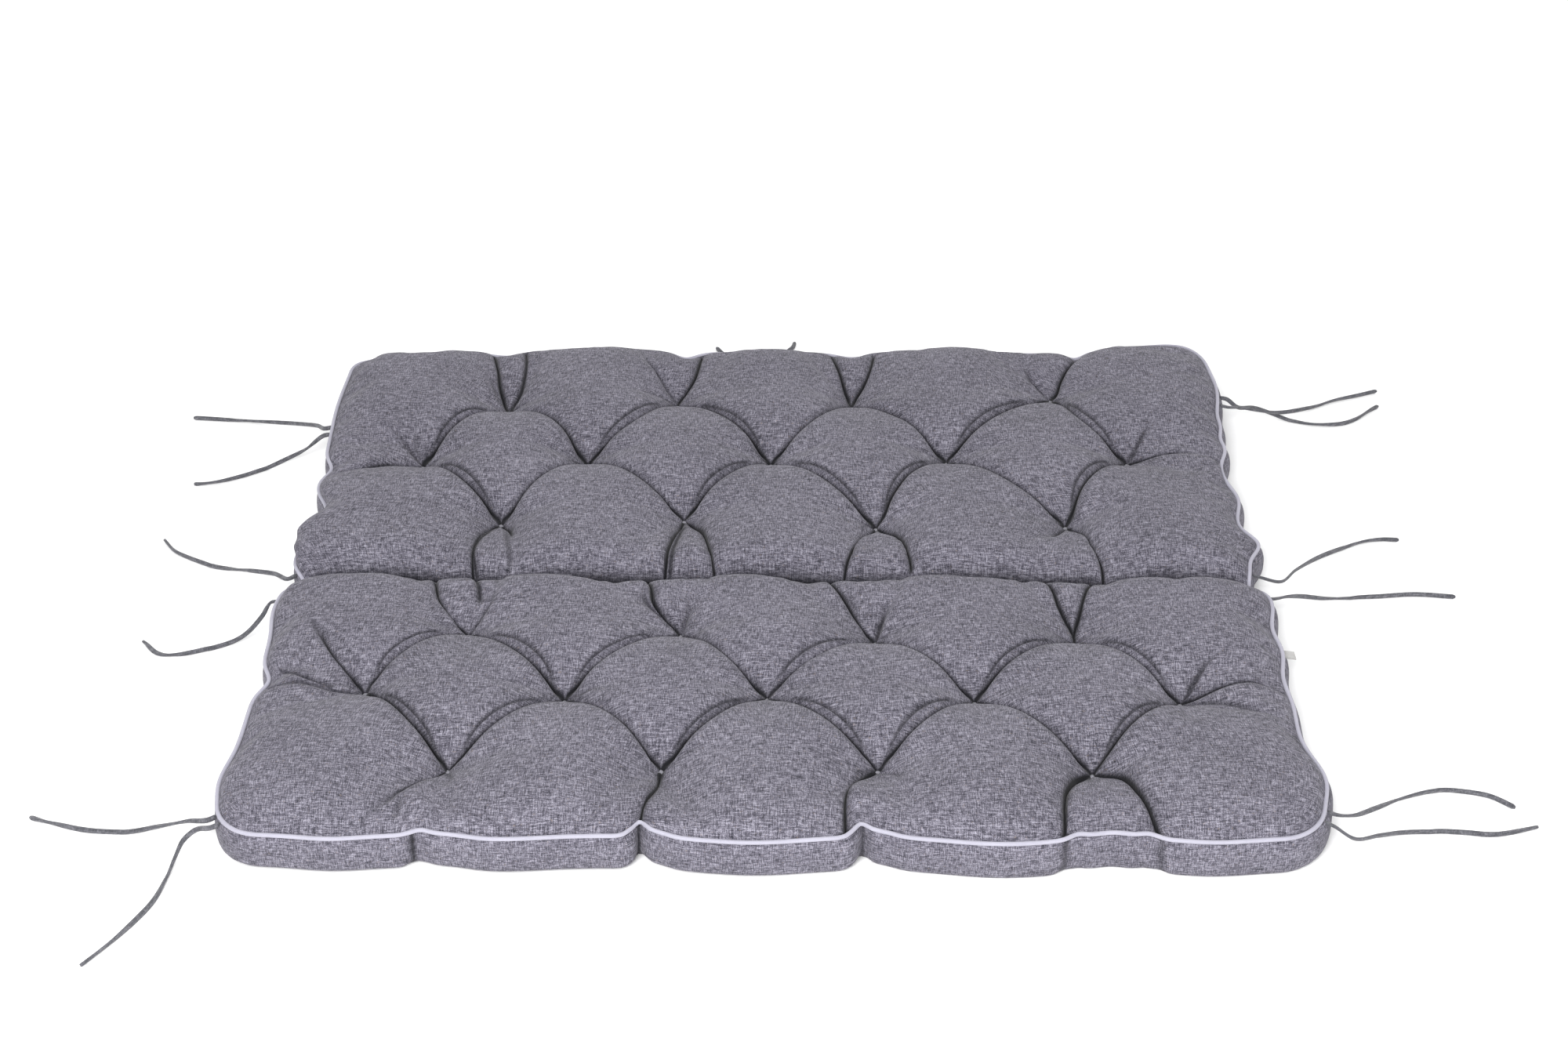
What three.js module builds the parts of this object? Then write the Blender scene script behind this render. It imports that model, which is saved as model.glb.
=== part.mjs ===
// Tufted two-part bench cushion lying on its back: a near panel and a far panel in one
// cover, stitched through at a hinge, with piping round the upper edge, tie tapes and a
// small blank tab in the side seam. Millimetres, +Z up, the front edge faces -Y.
import * as THREE from 'three';

// Driving dimensions
const WIDTH = 1200;
const NEAR_DEPTH = 505;
const DEPTH = 1100;
const SEAM_HEIGHT = 50;
const CROWN_HEIGHT = 85;
const TUFT_HEIGHT = 34;
const HINGE_TOP = 27;
const HINGE_UNDERSIDE = 14;
const TUFT_PITCH = 240;
const OUTER_TUFT_X = 480;
const CORNER_RADIUS = 48;
const PIPING_DIAMETER = 5;
const TIE_WIDTH = 6;
const TIE_THICKNESS = 2.4;
const TAB = { reach: 14, width: 15, thickness: 1.6, clear: 5.5, drop: 6, droop: 8, atStop: 2.85 };
const ORIGIN = { right: 12, fromFront: 558.5 };

// Shape of the filling between the seams and the tufts
const CREASE_SHARE = 0.5;
const CREASE_POWER = 0.75;
const PILLOW_POWER = 0.45;
const LEAD_SHARE = 0.85;
const LEAD_FILL = 0.55;
const EDGE_ROUNDING = 88;
const HINGE_ROUNDING = 52;
const UNDERSIDE_TUFT = 9;

// The cloth grid: cells between two stops, and the columns across the width
const CELLS_PER_STOP = 6;
const COLUMNS = 60;
const ROW_STOPS = [0, 125, 250, 375, NEAR_DEPTH, 650, 800, 950, DEPTH];
const ROWS = (ROW_STOPS.length - 1) * CELLS_PER_STOP;
const HINGE_STOP = ROW_STOPS.indexOf(NEAR_DEPTH);

// Where the 26 tufts sit: each row is off the even pitch, as the filling pulled it
const TUFT_ROWS = [
  { stop: 1, firstX: -360, x: [-361, -123, 120, 360], y: [119, 124, 121, 116] },
  { stop: 2, firstX: -480, x: [-475, -241, -5, 237, 476], y: [267, 253, 259, 253, 251] },
  { stop: 3, firstX: -360, x: [-367, -110, 125, 366], y: [389, 390, 374, 374] },
  { stop: 5, firstX: -360, x: [-351, -114, 135, 381], y: [640, 653, 634, 641] },
  { stop: 6, firstX: -480, x: [-470, -249, -2, 235, 477], y: [788, 798, 796, 802, 802] },
  { stop: 7, firstX: -360, x: [-368, -133, 110, 392], y: [935, 959, 957, 975] },
];
const TUFT_REACH = 62;

// Outward (+) bulges and inward (-) pleats of the seam: place along the side, size, width
const SEAM_WAVES = [
  { side: 'front', at: -475, out: 7, width: 50 },
  { side: 'front', at: -389, out: -7, width: 26 },
  { side: 'front', at: -300, out: 7, width: 70 },
  { side: 'front', at: -143, out: -25, width: 15 },
  { side: 'front', at: -20, out: 11, width: 80 },
  { side: 'front', at: 97, out: -24, width: 15 },
  { side: 'front', at: 250, out: 12, width: 80 },
  { side: 'front', at: 370, out: -9, width: 34 },
  { side: 'front', at: 480, out: 8, width: 60 },
  { side: 'left', at: 90, out: 9, width: 45 },
  { side: 'left', at: 281, out: -13, width: 26 },
  { side: 'left', at: 430, out: 7, width: 45 },
  { side: 'left', at: 610, out: -10, width: 40 },
  { side: 'left', at: 668, out: -20, width: 36 },
  { side: 'left', at: 768, out: -13, width: 26 },
  { side: 'left', at: 940, out: 5, width: 90 },
  { side: 'right', at: 100, out: 16, width: 50 },
  { side: 'right', at: 240, out: 4, width: 40 },
  { side: 'right', at: 350, out: 10, width: 40 },
  { side: 'right', at: 455, out: 15, width: 50 },
  { side: 'right', at: 590, out: 21, width: 30 },
  { side: 'right', at: 700, out: 12, width: 40 },
  { side: 'right', at: 830, out: 12, width: 30 },
  { side: 'right', at: 1005, out: 28, width: 108 },
  { side: 'back', at: -560, out: -20, width: 110 },
  { side: 'back', at: -384, out: -12, width: 30 },
  { side: 'back', at: -240, out: 6, width: 60 },
  { side: 'back', at: -125, out: -18, width: 20 },
  { side: 'back', at: 100, out: -14, width: 26 },
  { side: 'back', at: 250, out: 8, width: 70 },
  { side: 'back', at: 410, out: -16, width: 22 },
  { side: 'back', at: 560, out: 28, width: 90 },
];
const HINGE_PULL = [
  { side: 'left', out: -20, width: 20 },
  { side: 'right', out: -8, width: 20 },
];
const WAVE_FADE = 55;

// Pillows that hang out over the seam and hide it
const OVERHANGS = [
  { side: 'left', at: 588, out: 34, width: 52 },
  { side: 'left', at: 690, out: 16, width: 40 },
  { side: 'right', at: 640, out: 12, width: 45 },
  { side: 'right', at: 770, out: 14, width: 40 },
];
const OVERHANG_REACH = 30;
const FULL_OVERHANG = 34;

// The side band: share of the height, how far the cloth stands out there
const BAND_RINGS = [
  { share: 0.72, out: 5 },
  { share: 0.3, out: 6 },
];
const UNDERSIDE_INSET = { left: 13, right: 1, until: 300 };
const BAND_BULGE = { front: 0.9, right: 1.9, back: 1.2, left: 1.1 };

// Tie tapes: route from the seam down to the floor and out to the free end
const TIES = {
  tie_front_left_a: [[-604.3, 37.9, 44], [-614.3, 33.4, 42], [-637, 43, 33], [-659, 53, 21],
    [-680, 60, 11], [-713, 61, 3], [-759, 64, 2], [-792, 73, 2], [-827, 87, 2]],
  tie_front_left_b: [[-598.4, 24.7, 44], [-608.4, 20.2, 42], [-626, 27, 34], [-641, 23, 22],
    [-648, 8, 11], [-653, -15, 3], [-660, -55, 2], [-682, -108, 2], [-713, -157, 2]],
  tie_front_right_a: [[611.8, 52, 44], [622.5, 49.3, 42], [644, 59, 34], [675, 87, 22],
    [711, 118, 11], [758, 143, 3], [790, 141, 2], [816, 133, 2], [840, 113, 2]],
  tie_front_right_b: [[605.5, 34.2, 44], [615.4, 29.4, 42], [637, 22, 31], [669, 41, 20],
    [701, 59, 10], [738, 69, 3], [770, 68, 2], [804, 65, 2], [857, 79, 2]],
  tie_hinge_left_a: [[-597.8, 526.7, 39.9], [-607.2, 520.9, 37.9], [-629, 543, 31], [-661, 562, 23],
    [-690, 581, 13], [-721, 602, 4], [-755, 622, 2], [-778, 639, 2], [-797, 666, 2]],
  tie_hinge_left_b: [[-607.6, 460.5, 43.7], [-618.6, 461.8, 41.7], [-627, 443, 34], [-643, 429, 20],
    [-660, 426, 9], [-688, 418, 3], [-725, 404, 2], [-751, 407, 2], [-775, 432, 2]],
  tie_hinge_right_a: [[606.6, 532.9, 41.1], [617.4, 530.7, 39.1], [642, 532, 32], [671, 575, 22],
    [708, 621, 11], [749, 658, 3], [776, 673, 2], [803, 679, 2], [827, 678, 2]],
  tie_hinge_right_b: [[615.3, 479.9, 40.6], [625.8, 483, 38.6], [646, 497, 33], [669, 514, 22],
    [699, 528, 10], [737, 539, 3], [775, 543, 2], [819, 548, 2], [871, 543, 2]],
  tie_back_left_a: [[-607.3, 895, 44], [-618.2, 894.5, 42], [-633, 918, 33], [-660, 942, 22],
    [-699, 969, 9], [-735, 983, 3], [-764, 987, 2], [-792, 989, 2], [-823, 991, 2]],
  tie_back_left_b: [[-606.3, 874.9, 44], [-617.3, 874.4, 42], [-643, 872, 22], [-673, 864, 9],
    [-700, 848, 3], [-724, 831, 2], [-754, 816, 2], [-787, 810, 2]],
  tie_back_right_a: [[629.7, 967.7, 44], [640.6, 965.9, 42], [660, 979, 34], [690, 988, 24],
    [723, 1001, 14], [772, 1033, 4], [811, 1056, 2], [846, 1070, 2], [880, 1085, 2]],
  tie_back_right_b: [[632.3, 989.7, 44], [643.3, 988.8, 42], [659, 988, 30], [689, 1009, 17],
    [714, 1011, 7], [742, 998, 2], [776, 987, 2], [812, 989, 2], [873, 1040, 2]],
  tie_back_middle_a: [[22, 1103.6, 44], [22, 1114.6, 42], [20, 1128, 30], [15, 1146, 13],
    [11, 1163, 3], [13, 1182, 2], [22, 1200, 2], [30, 1214, 2], [33, 1230, 2]],
  tie_back_middle_b: [[2, 1103.6, 44], [2, 1114.6, 42], [-4, 1128, 30], [-13, 1145, 13],
    [-27, 1160, 3], [-44, 1172, 2], [-60, 1182, 2], [-74, 1194, 2], [-84, 1211, 2]],
};
const TIE_STEPS = 18;
const SEAM_GAP = 0.5;
const PIPING_LIFT = 1;
const PIPING_SIDES = 6;
const TUCKED = { out: 0.9, down: 2.2 };

const HALF = WIDTH / 2;
const SIDES = ['front', 'right', 'back', 'left'];

const clamp = THREE.MathUtils.clamp;
const lerp = THREE.MathUtils.lerp;

// Nominal depth of grid row j, and its place counted in row stops
function rowPlace(j) {
  const stop = Math.min(Math.floor(j / CELLS_PER_STOP), ROW_STOPS.length - 2);
  const share = j / CELLS_PER_STOP - stop;
  return { y: lerp(ROW_STOPS[stop], ROW_STOPS[stop + 1], share), stop: stop + share };
}

function columnX(i) {
  return -HALF + (WIDTH * i) / COLUMNS;
}

// Rise of a rounded edge, from 0 at the seam to 1 a rounding away
function rounded(distance, rounding) {
  const left = 1 - clamp(distance / rounding, 0, 1);
  return Math.sqrt(1 - left * left);
}

// Share of the crown at a nominal point: 0 on a tuft, CREASE_SHARE halfway between two
// tufts, 1 in the middle of a pillow. Past the outer tufts a crease runs straight out.
function pillowShare(x, stop) {
  const inPanel = stop < HINGE_STOP ? stop : stop - HINGE_STOP;
  const across = clamp(x, -OUTER_TUFT_X, OUTER_TUFT_X) / TUFT_PITCH;
  const along = (clamp(inPanel, 1, 3) - 2) / 2;
  const first = Math.abs(Math.sin(Math.PI * (across + along)));
  const second = Math.abs(Math.sin(Math.PI * (across - along)));
  const past = Math.max(1 - inPanel, inPanel - 3, (Math.abs(x) - OUTER_TUFT_X) / (HALF - OUTER_TUFT_X), 0);
  const lead = Math.sin((Math.PI / 2) * past) * LEAD_SHARE;
  const crease = CREASE_SHARE * Math.max(first, second, lead) ** CREASE_POWER;
  const pillow = Math.max(first * second, LEAD_FILL * lead * lead);
  return crease + (1 - CREASE_SHARE) * pillow ** PILLOW_POWER;
}

// Height of the seam: it dips into the stitched-through hinge at both ends
function seamHeight(y) {
  const open = rounded(Math.abs(y - NEAR_DEPTH), HINGE_ROUNDING);
  return lerp(HINGE_TOP, SEAM_HEIGHT, open);
}

function topHeight(x, y, stop) {
  const full = lerp(TUFT_HEIGHT, CROWN_HEIGHT, pillowShare(x, stop));
  const side = rounded(HALF - Math.abs(x), EDGE_ROUNDING);
  const end = rounded(Math.min(y, DEPTH - y), EDGE_ROUNDING);
  const open = rounded(Math.abs(y - NEAR_DEPTH), HINGE_ROUNDING);
  return lerp(HINGE_TOP, lerp(SEAM_HEIGHT, full, side * end), open);
}

// The pulls that bring each nominal tuft to its measured place
const TUFT_PULLS = TUFT_ROWS.flatMap((row) => row.x.map((x, k) => {
  const nominal = new THREE.Vector2(row.firstX + TUFT_PITCH * k, ROW_STOPS[row.stop]);
  return { nominal, pull: new THREE.Vector2(x, row.y[k]).sub(nominal) };
}));

function tuftPull(x, y) {
  const sum = new THREE.Vector2();
  for (const { nominal, pull } of TUFT_PULLS) {
    const apart = ((x - nominal.x) ** 2 + (y - nominal.y) ** 2) / TUFT_REACH ** 2;
    sum.addScaledVector(pull, Math.exp(-apart));
  }
  return sum;
}

// A square corner of the grid is drawn to a round one
function roundCorner(x, y) {
  const inX = HALF - Math.abs(x);
  const inY = Math.min(y, DEPTH - y);
  const toX = CORNER_RADIUS - inX;
  const toY = CORNER_RADIUS - inY;
  if (toX <= 0 || toY <= 0) return new THREE.Vector2(x, y);
  const share = Math.max(toX, toY) / Math.hypot(toX, toY);
  const farX = Math.sign(x) * (HALF - CORNER_RADIUS + toX * share);
  const nearY = CORNER_RADIUS - toY * share;
  return new THREE.Vector2(farX, y < DEPTH / 2 ? nearY : DEPTH - nearY);
}

function sumOfWaves(waves, at) {
  return waves.reduce((sum, wave) => sum + wave.out * Math.exp(-(((at - wave.at) / wave.width) ** 2)), 0);
}

// How far a pillow stands out over the seam, most a short way in from it
function overhang(side, at, distance) {
  const share = distance / OVERHANG_REACH;
  return sumOfWaves(OVERHANGS.filter((wave) => wave.side === side), at) * share * Math.exp(1 - share);
}

// Bulges and pleats of one side of the seam at a place along it
function sideWave(side, at) {
  const waves = SEAM_WAVES.filter((wave) => wave.side === side);
  const hinge = HINGE_PULL.filter((wave) => wave.side === side);
  return sumOfWaves([...waves, ...hinge.map((wave) => ({ ...wave, at: NEAR_DEPTH }))], at);
}

function wavePull(x, y) {
  const fade = (distance) => Math.exp(-distance / WAVE_FADE);
  const front = -sideWave('front', x) * fade(y);
  const back = sideWave('back', x) * fade(DEPTH - y);
  const left = -sideWave('left', y) * fade(HALF + x) - overhang('left', y, HALF + x);
  const right = sideWave('right', y) * fade(HALF - x) + overhang('right', y, HALF - x);
  return new THREE.Vector2(left + right, front + back);
}

function placed(x, y) {
  return roundCorner(x, y).add(tuftPull(x, y)).add(wavePull(x, y));
}

// Grid places round the edge, anticlockwise seen from above, from the front left corner
function edgeCells() {
  const cells = [];
  for (const side of SIDES) {
    const count = side === 'front' || side === 'back' ? COLUMNS : ROWS;
    for (let k = 0; k < count; k += 1) {
      if (side === 'front') cells.push([k, 0]);
      if (side === 'right') cells.push([COLUMNS, k]);
      if (side === 'back') cells.push([COLUMNS - k, ROWS]);
      if (side === 'left') cells.push([0, ROWS - k]);
    }
  }
  return cells;
}

// The seam line: where it is and which way is outward
function seamStations() {
  const points = edgeCells().map(([i, j]) => {
    const { y } = rowPlace(j);
    const spot = placed(columnX(i), y);
    const waves = OVERHANGS.filter((wave) => i === (wave.side === 'left' ? 0 : COLUMNS));
    const tuck = clamp(sumOfWaves(waves, y) / FULL_OVERHANG, 0, 1);
    return { nominalY: y, x: spot.x, y: spot.y, z: seamHeight(y), tuck };
  });
  return points.map((point, k) => {
    const before = points[(k + points.length - 1) % points.length];
    const after = points[(k + 1) % points.length];
    const outward = new THREE.Vector2(after.y - before.y, before.x - after.x).normalize();
    return { ...point, outward };
  });
}

const SEAM = seamStations();

function undersideHeight(nominalY) {
  return Math.abs(nominalY - NEAR_DEPTH) < 1 ? HINGE_UNDERSIDE : 0;
}

// The underside is drawn in further at the left end than at the right
function undersideInset(x) {
  const share = clamp((x + HALF) / (UNDERSIDE_INSET.until + HALF), 0, 1);
  return lerp(UNDERSIDE_INSET.left, UNDERSIDE_INSET.right, share);
}

// How full the side band is where the outward direction is known
function bandBulge(outward) {
  const across = outward.x > 0 ? BAND_BULGE.right : BAND_BULGE.left;
  const along = outward.y > 0 ? BAND_BULGE.back : BAND_BULGE.front;
  return lerp(along, across, outward.x ** 2);
}

function geometryFrom(vertices, triangles) {
  const geometry = new THREE.BufferGeometry();
  geometry.setAttribute('position', new THREE.Float32BufferAttribute(vertices.flat(), 3));
  geometry.setIndex(triangles.flat());
  geometry.computeVertexNormals();
  return geometry;
}

// One filled body: quilted top, side band in rings, flat underside with the hinge groove
function cushionGeometry() {
  const vertices = [];
  const triangles = [];
  const add = (x, y, z) => vertices.push([x, y, z]) - 1;
  const quad = (a, b, c, d) => triangles.push([a, b, c], [a, c, d]);

  const top = [];
  for (let j = 0; j <= ROWS; j += 1) {
    const { y, stop } = rowPlace(j);
    top.push([]);
    for (let i = 0; i <= COLUMNS; i += 1) {
      const x = columnX(i);
      const spot = placed(x, y);
      top[j].push(add(spot.x, spot.y, topHeight(x, y, stop)));
    }
  }
  for (let j = 0; j < ROWS; j += 1) {
    for (let i = 0; i < COLUMNS; i += 1) {
      const corner = [top[j][i], top[j][i + 1], top[j + 1][i + 1], top[j + 1][i]];
      const stopCells = Math.floor(i / CELLS_PER_STOP) + Math.floor(j / CELLS_PER_STOP);
      const lean = (stopCells + (j >= ROWS / 2 ? HINGE_STOP : 0)) % 2 === 0;
      if (lean) quad(corner[1], corner[2], corner[3], corner[0]);
      else quad(...corner);
    }
  }

  let upper = edgeCells().map(([i, j]) => top[j][i]);
  for (const ring of BAND_RINGS) {
    const lower = SEAM.map((spot) => {
      const foot = undersideHeight(spot.nominalY);
      const z = lerp(foot, spot.z, ring.share);
      const out = (ring.out * bandBulge(spot.outward) * (spot.z - foot)) / SEAM_HEIGHT;
      return add(spot.x + spot.outward.x * out, spot.y + spot.outward.y * out, z);
    });
    lower.forEach((low, k) => {
      const next = (k + 1) % lower.length;
      quad(low, lower[next], upper[next], upper[k]);
    });
    upper = lower;
  }

  // The underside has every second grid line
  const under = new Map();
  const key = (i, j) => `${i}/${j}`;
  edgeCells().forEach(([i, j], k) => {
    if (i % 2 || j % 2) return;
    const spot = SEAM[k];
    const inset = undersideInset(spot.x);
    const x = spot.x - spot.outward.x * inset;
    const y = spot.y - spot.outward.y * inset;
    under.set(key(i, j), add(x, y, undersideHeight(spot.nominalY)));
  });
  const tuftKeys = new Set(TUFT_ROWS.flatMap((row) => row.x.map((x, k) => {
    const column = ((row.firstX + TUFT_PITCH * k + HALF) * COLUMNS) / WIDTH;
    return key(Math.round(column), row.stop * CELLS_PER_STOP);
  })));
  for (let j = 2; j < ROWS; j += 2) {
    for (let i = 2; i < COLUMNS; i += 2) {
      const { y } = rowPlace(j);
      const spot = placed(columnX(i), y);
      const lift = tuftKeys.has(key(i, j)) ? UNDERSIDE_TUFT : undersideHeight(y);
      under.set(key(i, j), add(spot.x, spot.y, lift));
    }
  }
  for (let j = 0; j < ROWS; j += 2) {
    for (let i = 0; i < COLUMNS; i += 2) {
      const at = (di, dj) => under.get(key(i + di, j + dj));
      quad(at(0, 0), at(0, 2), at(2, 2), at(2, 0));
    }
  }
  const footCells = edgeCells().filter(([i, j]) => i % 2 === 0 && j % 2 === 0);
  const foot = footCells.map(([i, j]) => under.get(key(i, j)));
  foot.forEach((low, k) => {
    const next = foot[(k + 1) % foot.length];
    const [a, b, c] = [2 * k, 2 * k + 1, 2 * k + 2].map((n) => upper[n % upper.length]);
    triangles.push([low, b, a], [low, next, b], [next, c, b]);
  });
  return geometryFrom(vertices, triangles);
}

// A closed loop of cord sewn into the seam, a hair clear of the cloth. Where a pillow
// hangs over the seam, the cord lies lower and further out.
function pipingGeometry() {
  const radius = PIPING_DIAMETER / 2;
  const vertices = [];
  const triangles = [];
  for (const spot of SEAM) {
    for (let k = 0; k < PIPING_SIDES; k += 1) {
      const angle = (2 * Math.PI * k) / PIPING_SIDES;
      const out = radius + SEAM_GAP + TUCKED.out * spot.tuck + radius * Math.cos(angle);
      const x = spot.x + spot.outward.x * out;
      const y = spot.y + spot.outward.y * out;
      const z = spot.z + PIPING_LIFT - TUCKED.down * spot.tuck + radius * Math.sin(angle);
      vertices.push([x, y, z]);
    }
  }
  for (let s = 0; s < SEAM.length; s += 1) {
    const t = (s + 1) % SEAM.length;
    for (let k = 0; k < PIPING_SIDES; k += 1) {
      const n = (k + 1) % PIPING_SIDES;
      const here = [s * PIPING_SIDES + k, s * PIPING_SIDES + n];
      const ahead = [t * PIPING_SIDES + k, t * PIPING_SIDES + n];
      triangles.push([here[0], ahead[0], ahead[1]], [here[0], ahead[1], here[1]]);
    }
  }
  return geometryFrom(vertices, triangles);
}

// A route along which a tape keeps its broad side level
class TapeRoute extends THREE.CatmullRomCurve3 {
  constructor(route) {
    super(route.map((point) => new THREE.Vector3(...point)), false, 'centripetal');
  }

  computeFrenetFrames(steps) {
    const up = new THREE.Vector3(0, 0, 1);
    const tangents = Array.from({ length: steps + 1 }, (_, k) => this.getTangentAt(k / steps));
    const binormals = tangents.map((tangent) => tangent.clone().cross(up).normalize());
    const normals = tangents.map((tangent, k) => binormals[k].clone().cross(tangent));
    return { tangents, normals, binormals };
  }
}

function tieGeometry(route) {
  const section = new THREE.Shape();
  section.absellipse(0, 0, TIE_THICKNESS / 2, TIE_WIDTH / 2, 0, 2 * Math.PI);
  return new THREE.ExtrudeGeometry(section, {
    steps: TIE_STEPS, curveSegments: 4, extrudePath: new TapeRoute(route), bevelEnabled: false,
  });
}

// A folded tab of ribbon, blank on both sides, with its fold outward
function tabGeometry() {
  const profile = new THREE.Shape();
  const half = TAB.thickness / 2;
  profile.moveTo(0, -half);
  profile.lineTo(TAB.reach - half, -half);
  profile.absarc(TAB.reach - half, 0, half, -Math.PI / 2, Math.PI / 2, false);
  profile.lineTo(0, half);
  profile.closePath();
  const settings = { depth: TAB.width, bevelEnabled: false, curveSegments: 4 };
  const geometry = new THREE.ExtrudeGeometry(profile, settings);
  geometry.rotateX(Math.PI / 2);
  geometry.translate(0, TAB.width / 2, 0);
  return geometry;
}

const GREY_CLOTH = { color: 0x86858f, roughness: 0.95, metalness: 0 };
const MATERIALS = {
  cover: new THREE.MeshStandardMaterial(GREY_CLOTH),
  piping: new THREE.MeshStandardMaterial({ color: 0xc3c2cf, roughness: 0.8, metalness: 0 }),
  tie: new THREE.MeshStandardMaterial({ color: 0x72727a, roughness: 0.95, metalness: 0 }),
  tab: new THREE.MeshStandardMaterial({ color: 0xe9e8e6, roughness: 0.7, metalness: 0 }),
};

function named(name, geometry, material) {
  const mesh = new THREE.Mesh(geometry, material.clone());
  mesh.name = name;
  return mesh;
}

// The tab leaves the right side seam between the middle and rear tuft rows
function placedTab() {
  const tab = named('side_tab', tabGeometry(), MATERIALS.tab);
  const spot = SEAM[COLUMNS + Math.round(TAB.atStop * CELLS_PER_STOP)];
  tab.position.set(spot.x + TAB.clear, spot.y, spot.z - TAB.drop);
  tab.rotation.set(0, THREE.MathUtils.degToRad(TAB.droop), 0);
  return tab;
}

const group = new THREE.Group();
group.add(named('cushion', cushionGeometry(), MATERIALS.cover));
group.add(named('piping', pipingGeometry(), MATERIALS.piping));
for (const [name, route] of Object.entries(TIES)) {
  group.add(named(name, tieGeometry(route), MATERIALS.tie));
}
group.add(placedTab());
group.position.set(-ORIGIN.right, -ORIGIN.fromFront, 0);

export default group;
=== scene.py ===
"""A tufted two-part bench cushion, dressed: filled cover, piping, tie tapes and side tab.

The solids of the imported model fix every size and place. This script makes the finer
pieces that stand for them, gives each piece its cloth, and sets a plain pale studio.
Lengths are metres. Cover formulas use x from the middle and y from the front edge, and
a last step moves them to the model's own origin.
"""

import logging
import math
import random
from dataclasses import dataclass
from dataclasses import field
from enum import Enum

import bmesh
import bpy
import numpy as np
from mathutils import Matrix
from mathutils import Vector


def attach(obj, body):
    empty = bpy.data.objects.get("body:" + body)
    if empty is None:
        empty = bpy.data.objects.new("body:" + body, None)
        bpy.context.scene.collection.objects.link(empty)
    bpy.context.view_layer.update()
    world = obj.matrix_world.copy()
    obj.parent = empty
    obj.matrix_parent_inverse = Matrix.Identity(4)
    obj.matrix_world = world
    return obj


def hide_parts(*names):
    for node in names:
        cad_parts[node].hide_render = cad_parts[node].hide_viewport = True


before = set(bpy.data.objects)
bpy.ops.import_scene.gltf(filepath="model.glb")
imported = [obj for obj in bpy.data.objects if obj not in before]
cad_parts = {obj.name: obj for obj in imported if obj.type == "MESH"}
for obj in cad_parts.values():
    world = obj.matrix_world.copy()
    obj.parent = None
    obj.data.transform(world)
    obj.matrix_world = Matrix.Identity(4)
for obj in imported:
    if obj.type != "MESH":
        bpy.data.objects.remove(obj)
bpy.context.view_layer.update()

LOG = logging.getLogger("bench_cushion")
BODY = "root"
# The model's own origin, seen from the middle of the front edge
ORIGIN = np.array([0.012, 0.5585, 0.0])
# Tolerances: one length, one for 32-bit places, the least divisor and the level of the top
TINY = 1e-6
BLURRED = 1e-5
NOT_ZERO = 1e-9
ON_TOP = 0.99
SAMPLES_PER_SPAN = 24

Colour = tuple[float, float, float]
Point = tuple[float, float, float]


class Slot(Enum):
    """The record's material slots."""

    COVER = "cover_cloth"
    PIPING = "piping_cloth"
    TIE = "tie_tape"


class Side(Enum):
    """One side of the cover's rectangle."""

    FRONT = "front"
    RIGHT = "right"
    BACK = "back"
    LEFT = "left"


def lerp(low: np.ndarray, high: np.ndarray, share: np.ndarray) -> np.ndarray:
    """Blend from low to high by share.

    Args:
        low: Value at share 0.
        high: Value at share 1.
        share: Where between them.

    Returns:
        The blend.
    """
    return low + (high - low) * share


def rounded(distance: np.ndarray, rounding: float) -> np.ndarray:
    """Rise of a rounded edge.

    Args:
        distance: How far a place is from the edge.
        rounding: Distance at which the rise is full.

    Returns:
        0 at the edge and 1 a rounding away, along a quarter circle.
    """
    left = 1 - np.clip(distance / rounding, 0, 1)
    return np.sqrt(1 - left * left)


def bell(distance: np.ndarray, width: float) -> np.ndarray:
    """Smooth bump that fades over a width.

    Args:
        distance: Distance from its middle.
        width: Distance at which about a third is left.

    Returns:
        The height, 1 in the middle.
    """
    return np.exp(-((distance / width) ** 2))


def smooth_route(points: np.ndarray, spacing: float) -> np.ndarray:
    """Centripetal Catmull-Rom line through a few points.

    Args:
        points: The route's points, one a row.
        spacing: Wanted distance between the line's samples.

    Returns:
        Evenly spaced samples of the line, one a row.
    """
    first = 2 * points[0] - points[1]
    last = 2 * points[-1] - points[-2]
    whole = np.vstack([first, points, last])
    share = np.linspace(0, 1, SAMPLES_PER_SPAN, endpoint=False)[:, None]
    squared = share**2
    cubed = share**3
    line = []
    for before, start, end, after in zip(whole, whole[1:], whole[2:], whole[3:]):
        earlier = np.sqrt(np.linalg.norm(start - before))
        own = np.sqrt(np.linalg.norm(end - start))
        later = np.sqrt(np.linalg.norm(after - end))
        leave = (start - before) / earlier - (end - before) / (earlier + own) + (end - start) / own
        arrive = (end - start) / own - (after - start) / (own + later) + (after - end) / later
        line.append(
            (2 * cubed - 3 * squared + 1) * start
            + (cubed - 2 * squared + share) * leave * own
            + (3 * squared - 2 * cubed) * end
            + (cubed - squared) * arrive * own
        )
    line = np.vstack([*line, points[-1:]])
    walked = np.concatenate([[0], np.cumsum(np.linalg.norm(np.diff(line, axis=0), axis=1))])
    count = max(2, round(walked[-1] / spacing) + 1)
    at = np.linspace(0, walked[-1], count)
    return np.stack([np.interp(at, walked, line[:, k]) for k in range(3)], axis=1)


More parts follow.
